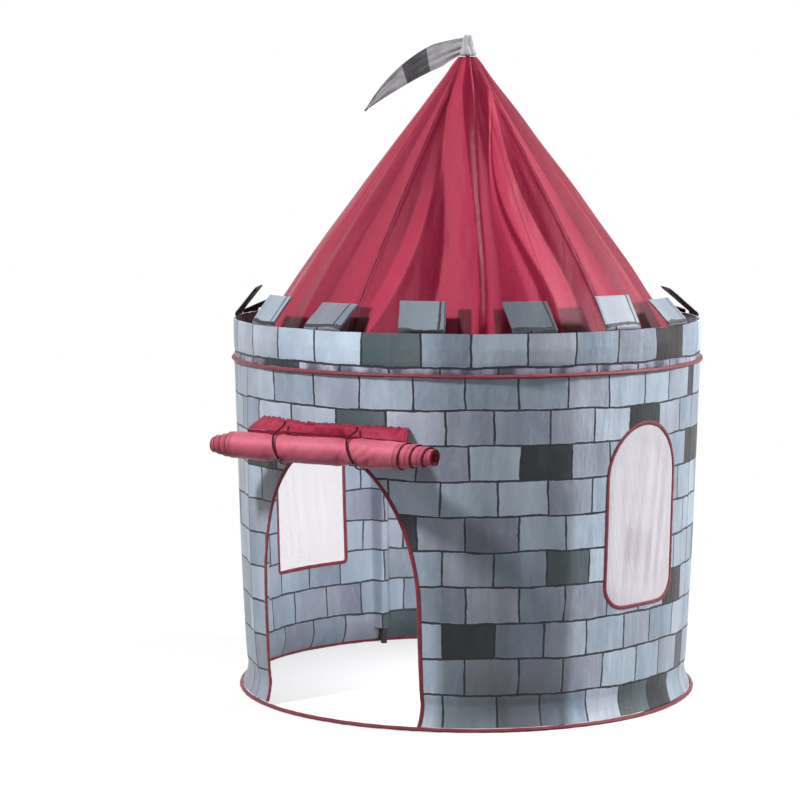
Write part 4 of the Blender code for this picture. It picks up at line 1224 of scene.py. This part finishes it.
def flat_between(angle, share):
    """How far the taut stretches between creases stand out, in metres."""
    angle, near = np.mod(angle, 360), np.clip(share, 0.07, 0.90)
    lines = [
        [np.polyval(np.polyfit(CREASE_SHARES, row, 3), near) for row in crease]
        for crease in creases()
    ]
    proud = np.zeros(np.broadcast(angle, share).shape)
    for (low, low_proud), (high, high_proud) in zip(lines[:-1], lines[1:]):
        part = np.clip((angle - low) / np.maximum(high - low, 0.05), 0, 1)
        proud = np.where(angle >= low, low_proud + (high_proud - low_proud) * part, proud)
    return 0.001 * proud


def roof_folds(angle, share):
    """How far the roof's cloth stands out from the cone, in metres."""
    angle = np.mod(angle, 360)
    soft = 0.55 + 0.5 * share
    folds = 0.5 * flat_between(angle, share)
    folds += 0.25 * (flat_between(angle - soft, share) + flat_between(angle + soft, share))
    folds = (folds - 0.002) * np.clip(share / 0.06, 0, 1) * np.clip((1 - share) / 0.10, 0, 1)
    hang = np.where(share < 1, np.sin(pi * np.clip(share, 0, 0.9999)) ** 0.7, 0)
    folds += 0.0012 * hang * ring_noise(angle, 8, share * 7, 15)
    folds += 0.0007 * np.clip(share * 12, 0, 1) * hang * ring_noise(angle, 3, share * 10, 16)
    pleats = np.clip((share - 0.86) / 0.14, 0, 1) * np.clip((1 - share) / 0.02, 0, 1)
    wavering = 1.5 * ring_noise(angle, 20, 0 * share, 17)
    folds += 0.0013 * pleats * np.cos(np.radians(angle * 18) + wavering)
    gathers = np.exp(-share / 0.05) * np.clip(share / 0.02, 0, 1)
    return ROOF_DEPTH * (folds + 0.0012 * gathers * ring_noise(angle, 2, 0 * share, 18))


def satin(angle, share, radius):
    """How light the satin looks: a facet that is turned towards a lamp is the lighter one."""
    angle = np.mod(angle, 360)
    rise = flat_between(angle + 0.4, share) - flat_between(angle - 0.4, share)
    facing = rise / (radians(0.8) * radius) * np.interp(angle, LAMP_TURNS, LAMP_SIDES)
    sheen = np.interp(angle, (0, 80, 92, 358, 360), (0.30, 0.30, 0.17, 0.17, 0.30))
    return sheen * np.tanh(facing / 0.09)


def flap_shade(angle, share):
    """Where the flaps keep the light off the roof: on each one's right, by the collar."""
    shade = np.zeros(angle.shape)
    for start, end in SHADES:
        inside = between(apart(angle, start), 0.0, 0.6) * (np.abs(apart(angle, (start + end) / 2)) < 20)
        shade = np.maximum(shade, inside * (1 - between(apart(angle, end), -0.6, 0.0)))
    return shade * (1 - between(share, SHADE_TOP - 0.008, SHADE_TOP)) * 0.9


def rod_offset(angle, share):
    """The signed way round the roof to the stitched line over the nearest rod, in metres."""
    radius = ROOF_FOOT_RADIUS + (ROOF_TOP_RADIUS - ROOF_FOOT_RADIUS) * share
    ways = np.stack([apart(angle, pole) for pole in POLES])
    least = np.abs(ways).argmin(axis=0)[None]
    return np.take_along_axis(ways, least, axis=0)[0] * radians(1) * radius


print("roof creases:", len(creases()))

# %% [markdown]
# ## Roof gores
#
# Each gore is a tall triangle of taffeta. Its map is its flat cut: up is the way along
# the slope, which is longer than the height by the factor SLOPE, and across is the width
# at that height. Both side edges have a felled seam, which stands up a little and puckers,
# with a groove where the gores meet.

# %% Gores
SLOPE = 1.247
across = np.linspace(0, 1, 121)
up = np.concatenate([np.linspace(0, 0.06, 14)[:-1], np.linspace(0.06, 1, 118)])
side, share = np.meshgrid(across, up)
height = ROOF_FOOT + (ROOF_TOP - ROOF_FOOT) * share
base = roof_radius(height)
seam = np.degrees(0.0003 / base)
for index, (first, last) in enumerate(zip(ROOF_SEAMS[:-1], ROOF_SEAMS[1:])):
    angle = first + seam + (last - first - 2 * seam) * side
    edge = np.minimum(angle - first, last - angle) * radians(1) * base
    ridge = 0.0007 * bell(edge / 0.012) * wander(share * 60, 0 * share, 50 + index)
    ridge += 0.0016 * bell((edge - 0.004) / 0.004)
    ridge *= np.clip(base / 0.08, 0, 1) * np.clip(share * 20, 0, 1)
    folds = roof_folds(angle, share)
    points = around(angle, base + folds * np.clip(edge / 0.010, 0.3, 1) + ridge, height)
    cloth_map = grid((angle - (first + last) / 2) * radians(1) * base, height * SLOPE)
    rod = 1.0 + np.clip(rod_offset(angle, share), -0.1, 0.1) + np.where(share > 0.93, 0.5, 0)
    # Painted light and shade: the satin's facets, a painted darker band round 42 degrees, and painted
    # shade in the hollows between creases.
    tone = satin(angle, share, base) - 0.12 * bell((angle - 42) / 16)
    tone -= 0.15 * np.clip((-folds - 0.002) / 0.008, 0, 1)
    gore = woven(
        f"roof_gore_cloth_{index + 1}", points, cloth_map, edge, (roof_out, roof_in),
        rod=rod, lie=tone, shade=flap_shade(angle, share),
    )
    thickened(gore, 0.0010)
    sewn(gore, "tent", "roof_cloth", f"roof_gore_{index + 1}")
print("gore faces:", len(gore.data.polygons))

# %% [markdown]
# ## Door curtain
#
# The curtain hangs from a strip that is sewn across the wall over the doorway. The strip
# is puckered along its seam. It bends where the curtain is lifted, and the short stretch
# between the strip and the roll is what draws out as the curtain is let down. Both are
# built where they hang, and their CAD parts are hidden.
#
# The strip is a ruled sheet from its seam on the wall to its foot. It bellies out between
# the two, with ruffles along it and one deeper tuck near the middle.

# %% Header strip
HEADER_TOP, HEADER_FOOT, HEADER_LENGTH = 0.613, 0.590, 0.034
STRIP_LEFT, STRIP_RIGHT = 0.1955, 0.173
FLARE_LEFT, FLARE_RIGHT = 0.006, 0.022
CURTAIN_FACE = -0.5047
OUT_AND_UP = np.array((0.0, -0.75, 0.66))


def flared(side, low):
    """How far to the side the curtain reaches: it widens a little towards the roll."""
    right, left = STRIP_RIGHT + low * FLARE_RIGHT, STRIP_LEFT + low * FLARE_LEFT
    return side * np.where(side > 0, right, left)


side, share = np.meshgrid(np.linspace(-1, 1, 181), np.linspace(0, 1, 19))
x = flared(side, 1 - share)
wall_angle = np.degrees(np.arcsin(x / 0.5))
pucker = 0.0016 * wander(x / 0.0055, 0 * x, 60) + 0.0011 * wander(x / 0.017, 0 * x, 61)
seam_line = wall_point(wall_angle, HEADER_TOP + pucker, 0.0018)
foot_line = np.stack([x, 0 * x + AXIS_Y + CURTAIN_FACE, 0 * x + HEADER_FOOT], axis=-1)
points = foot_line * (1 - share[..., None]) + seam_line * share[..., None]
belly = np.sin(pi * np.clip(share, 0, 1))
ruffle = 0.0028 * wander(x / 0.030 + share * 0.8, share * 1.2, 62)
ruffle += 0.0016 * wander(x / 0.010, share * 2, 63)
tuck = 0.0050 * bell((x - 0.022 - 0.02 * (1 - share)) / 0.007)
points += ((ruffle + 0.0022 + tuck) * belly)[..., None] * OUT_AND_UP
points[..., 2] += 0.0014 * np.clip(share * 3 - 2, 0, 1) * wander(x / 0.0045, 0 * x, 64)
edge = np.minimum(0.18 * (1 - np.abs(side)), (1 - share) * HEADER_LENGTH)
# The strip is painted a little lighter all over.
header = woven(
    "door_header_cloth", points, grid(x, share * HEADER_LENGTH), edge, (roof_out, roof_in),
    lie=0.20,
)
thickened(header, 0.0009)
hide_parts("door_header")
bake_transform(header)
print("header faces:", len(header.data.polygons))

# %% Curtain behind the roll
ROLL_Y, ROLL_HEIGHT, ROLL_RADIUS, ROLL_TILT = -0.5360, 0.562, 0.031, 0.019
side, share = np.meshgrid(np.linspace(-1, 1, 97), np.linspace(0, 1, 49))
x = flared(side, 1.0)
height = ROLL_HEIGHT + (HEADER_FOOT - 0.0015 - ROLL_HEIGHT) * share
wave = 0.0005 * wander(x / 0.03, share * 0.5, 65) * np.sin(pi * share)
points = np.stack([x, AXIS_Y + CURTAIN_FACE + wave, height], axis=-1)
edge = 0.18 * (1 - np.abs(side))
curtain = woven("door_curtain_cloth", points, grid(x, height), edge, (roof_out, roof_in))
thickened(curtain, 0.0009)
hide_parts("door_curtain")
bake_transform(curtain)
print("curtain faces:", len(curtain.data.polygons))

# %% [markdown]
# ## The roll
#
# The rest of the curtain is wound into a loose roll, a long sheet on a spiral path that
# hangs a little higher at its right. The inner turns stand out further at both ends, since
# they were wound first and slipped, and the first half turn folds across the hollow
# middle. Two elastic ties pinch it, so it swells between them and creases beside them.
# Where its front faces up, a band of painted highlight runs along it.

# %% Roll
TURNS, INNER_FOLD, HOLLOW = 4.5, 0.6, 0.0125
TIES = (-0.105, 0.075)
wound, along = np.meshgrid(np.linspace(0, 1, 201), np.linspace(-1, 1, 161))
turn = wound * (TURNS + INNER_FOLD) - INNER_FOLD
inner, outer = np.clip((TURNS - turn) / 3.2, 0, 1), np.clip(turn / TURNS, 0, 1)
reach_right, reach_left = 0.199 + 0.084 * inner, 0.2075 + 0.056 * inner
x = np.where(along > 0, along * reach_right, along * reach_left)
spiral = HOLLOW + (ROLL_RADIUS - 0.0012 - HOLLOW) * np.clip(turn, 0, None) / TURNS
across_hollow = HOLLOW * np.cos(pi * np.minimum(turn, 0) / INNER_FOLD / 2) ** 0.6 + 0.0005
swing = 2 * pi * (turn - TURNS)
cinch = np.max([bell((x - place) / 0.016) for place in TIES], axis=0)
radius = np.where(turn < 0, across_hollow, spiral) - 0.0030 * cinch * outer
creased = 0.0012 * wander(x / 0.022 + swing * 0.8, swing * 1.2, 66)
creased += 0.0011 * wander(x / 0.008, swing * 2.0, 67) * (0.25 + 0.9 * np.clip(cinch * 2, 0, 1))
creased += 0.0034 * bell((x - 0.128) / 0.040) * wander(x / 0.015 + swing * 1.3, swing * 1.5, 68)
creased += 0.0016 * bell((x + 0.060) / 0.030) * wander(x / 0.014 - swing * 1.1, swing * 1.4, 75)
radius += (creased - 0.0012) * outer**2
droop = 0.0010 * wander(x / 0.05, 0 * x, 69)
y = AXIS_Y + ROLL_Y + radius * np.cos(swing)
z = ROLL_HEIGHT + ROLL_TILT * x + radius * np.sin(swing) * (1 - 0.03 * inner) + droop
steps = np.diff(wound[0]) * (TURNS + INNER_FOLD) * pi * (radius[70, 1:] + radius[70, :-1])
length = run_of(steps)
edge = np.where(x > 0, reach_right - x, reach_left + x) * 0.6
# A painted highlight in a band where the roll's front faces up.
painted_highlight = 0.08 + 0.48 * bell((np.sin(swing) - 0.42) / 0.30) * (np.cos(swing) < 0) * outer**4
roll = woven(
    "door_roll_cloth", np.stack([x, y, z], axis=-1)[::-1], grid(x, length)[::-1], edge[::-1],
    (curtain_out, curtain_out), lie=painted_highlight[::-1],
)
thickened(roll, 0.0009)
sewn(roll, "door_roll", "roof_cloth", "door_roll")

# %% [markdown]
# ## Elastic ties
#
# A doubled elastic cord goes from the strip's seam over the front of the roll, round under
# it and up behind the curtain, and a small toggle holds its loop. The cords are tubes
# along a path that lies on the roll; the toggle is hard plastic, so it is modelled by hand
# from a cylinder: its ends are inset and pushed in, and its middle is drawn in.

# %% Cords
SLANTS = (0.026, 0.032)


def tube(name, path, radius, look):
    """A mesh tube along points, with its map along and round it."""
    ahead = np.gradient(path, axis=0)
    ahead /= np.linalg.norm(ahead, axis=1)[:, None]
    across = np.array((1.0, 0.0, 0.0)) - ahead * ahead[:, :1]
    across /= np.linalg.norm(across, axis=1)[:, None]
    other = np.cross(ahead, across)
    turn = np.linspace(0, 2 * pi, 13)
    ring = np.cos(turn)[:, None, None] * across + np.sin(turn)[:, None, None] * other
    run = run_of(np.linalg.norm(np.diff(path, axis=0), axis=1))
    cord = woven(name, path + radius * ring, grid(run, turn[:, None]), 1.0, (look,))
    weld(cord)
    return cord


def tie_path(x, slant):
    """Down over the roll's front, slanting, round under it and up behind the curtain."""
    reach = ROLL_RADIUS + 0.0014
    middle = ROLL_HEIGHT + ROLL_TILT * x
    path = [(x, CURTAIN_FACE - 0.0024, 0.6105), (x + slant * 0.08, CURTAIN_FACE - 0.0040, 0.6040)]
    for way in range(0, 179, 8):
        swing = radians(112 + way)
        aside = slant * min(0.2 + 0.8 * way / 100, 1)
        path.append((x + aside, ROLL_Y + reach * cos(swing), middle + reach * sin(swing)))
    behind = ((ROLL_Y + 0.022, -0.027), (-0.5018, -0.015), (-0.5018, 0.024))
    path += [(x + slant, y, middle + rise) for y, rise in behind]
    smooth = np.array(path)
    # Each pass cuts every corner off, a quarter of the way along both its sides.
    for _ in range(2):
        near, far = smooth[:-1], smooth[1:]
        quarters = np.stack([near * 0.75 + far * 0.25, near * 0.25 + far * 0.75], axis=1)
        smooth = np.vstack([smooth[:1], quarters.reshape(-1, 3), smooth[-1:]])
    smooth[:, 1] += AXIS_Y
    return smooth


def toggle(name, place):
    """A small barrel with hollow ends and a drawn-in middle."""
    bpy.ops.object.select_all(action="DESELECT")
    bpy.ops.mesh.primitive_cylinder_add(vertices=20, radius=0.0030, depth=0.016, location=place)
    barrel = bpy.context.object
    barrel.name = name
    barrel.rotation_euler = (0, radians(90), 0)
    bpy.ops.object.transform_apply(location=True, rotation=True, scale=True)
    bpy.ops.object.mode_set(mode="EDIT")
    bpy.ops.mesh.select_all(action="DESELECT")
    bpy.ops.mesh.select_mode(type="FACE")
    bpy.ops.object.mode_set(mode="OBJECT")
    for polygon in barrel.data.polygons:
        polygon.select = abs(polygon.normal.x) > 0.9
    bpy.ops.object.mode_set(mode="EDIT")
    bpy.ops.mesh.inset(thickness=0.0009, depth=0.0)
    bpy.ops.mesh.inset(thickness=0.0004, depth=-0.0009)
    bpy.ops.object.mode_set(mode="OBJECT")
    for polygon in barrel.data.polygons:
        polygon.select = abs(polygon.normal.x) < 0.1 and polygon.area > 1e-6
    bpy.ops.object.mode_set(mode="EDIT")
    bpy.ops.mesh.subdivide(number_cuts=5)
    bpy.ops.object.mode_set(mode="OBJECT")
    for vertex in barrel.data.vertices:
        share = (vertex.co.x - place[0]) / 0.016 + 0.5
        shrink = 1 - 0.16 * sin(pi * min(max(share, 0), 1)) ** 2
        vertex.co.y = place[1] + (vertex.co.y - place[1]) * shrink
        vertex.co.z = place[2] + (vertex.co.z - place[2]) * shrink
    only(barrel)
    soften = barrel.modifiers.new("Soften", "BEVEL")
    soften.width = 0.0003
    soften.segments = 2
    soften.limit_method = "ANGLE"
    bpy.ops.object.modifier_apply(modifier=soften.name)
    bpy.ops.object.shade_smooth_by_angle(angle=radians(40))
    return barrel


toggle_look = hardware("toggle_plastic", (70, 16, 28), (46, 8, 18), 0.4, 1200.0, 1.0, 0.00005)
TOGGLE_REACH, TOGGLE_SWING = ROLL_RADIUS + 0.0046, radians(215)
for number, (x, slant) in enumerate(zip(TIES, SLANTS), 1):
    cord, second = (
        tube(f"tie_strand_{number}_{k}", tie_path(x + k * 0.0026 - 0.0013, slant), 0.00115, elastic)
        for k in (0, 1)
    )
    joined(cord, second)
    cord.name = f"tie_cord_{number}"
    sewn(cord, "door_roll", "elastic", f"door_tie_{number}")
    y = AXIS_Y + ROLL_Y + TOGGLE_REACH * cos(TOGGLE_SWING)
    z = ROLL_HEIGHT + ROLL_TILT * x + TOGGLE_REACH * sin(TOGGLE_SWING)
    barrel = toggle(f"tie_toggle_{number}", (x + slant, y, z))
    barrel.data.materials.append(toggle_look)
    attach(barrel, "door_roll")
print("ties:", len(TIES))

# %% [markdown]
# ## Pennant
#
# A thin grey flag with a dark band curves down from the top. Its root is gathered in a
# crinkled sleeve round the pin of the hub, on which it turns. The flag is a long tapering
# sheet on a falling curve with a soft ripple.

# %% Pennant
FLAG_ANGLE = -56.5
FLAG_ROOT, FLAG_TIP = np.array((0.0065, 1.3758)), np.array((0.219, 1.2373))
FLAG_BEND = FLAG_ROOT + (FLAG_TIP - FLAG_ROOT) * (0.55, 0.23)
SLEEVE_FOOT, SLEEVE_RISE = 1.3540, 0.0438


def flag_centre(t):
    """The pennant's middle line, from its root to its tip."""
    t = np.asarray(t)[..., None]
    return (1 - t) ** 2 * FLAG_ROOT + 2 * t * (1 - t) * FLAG_BEND + t * t * FLAG_TIP


along, over = np.meshgrid(np.linspace(0, 1, 121), np.linspace(-0.5, 0.5, 17))
centre = flag_centre(along)
ahead = flag_centre(along + 0.01) - flag_centre(along - 0.01)
ahead /= np.linalg.norm(ahead, axis=-1)[..., None]
opened = np.clip(along / 0.25, 0, 1)
width = (0.034 + 0.018 * opened) * (1 - along**2.6)
half = over * np.maximum(width, 0.004)
reach = centre[..., 0] - half * ahead[..., 1] * opened
height = centre[..., 1] + half * ahead[..., 0]
ripple = 0.005 * np.sin(2 * pi * 1.25 * along) * along
ripple += 0.0030 * (1 - opened * 0.7) * wander(over * 7, along * 3, 70)
ripple += 0.0016 * wander(along * 9, over * 2, 71) * np.clip(along * 4, 0, 1)
points = reach[..., None] * outward(FLAG_ANGLE) + ripple[..., None] * outward(FLAG_ANGLE + 90)
points += np.stack([0 * height, 0 * height + AXIS_Y, height], axis=-1)
run = run_of(np.linalg.norm(np.diff(flag_centre(along[0]), axis=0), axis=1))
edge = np.clip(width / 2 - np.abs(half), 0, 1)
pennant = woven("pennant_cloth", points, grid(run, half), edge, (pennant_cloth,))
thickened(pennant, 0.0008)

turns, rise = np.arange(0, 360, 6), np.linspace(0, 1, 15)
swing, up = np.meshgrid(turns, rise)
sleeve_radius = np.interp(up, (0, 0.08, 0.5, 0.94, 1), (0.0150, 0.0172, 0.0118, 0.0078, 0.0058))
sleeve_radius += 0.0011 * np.cos(np.radians(swing * 9) + 2 * wander(up * 3, 0 * up, 72))
sleeve_radius += 0.0008 * ring_noise(swing, 24, up * 5, 73)
points = around(swing, np.maximum(sleeve_radius, 0.0052), SLEEVE_FOOT + SLEEVE_RISE * up)
cloth_map = grid(0.012 * np.radians(np.append(turns, 360)), SLEEVE_RISE * rise[:, None] - 0.3)
sleeve = woven("pennant_sleeve", points, cloth_map, 1.0, (pennant_cloth,), closed=True)
thickened(sleeve, 0.0006)
sewn(sleeve, "flag", "flag_cloth", "flag")
sewn(pennant, "flag", "flag_cloth", "flag")
print("pennant faces:", len(pennant.data.polygons))

# %% [markdown]
# ## The end
#
# The last cell leaves nothing selected. The cloth may stand only a little proud of
# the CAD model.

# %% Finish
bpy.ops.object.select_all(action="DESELECT")
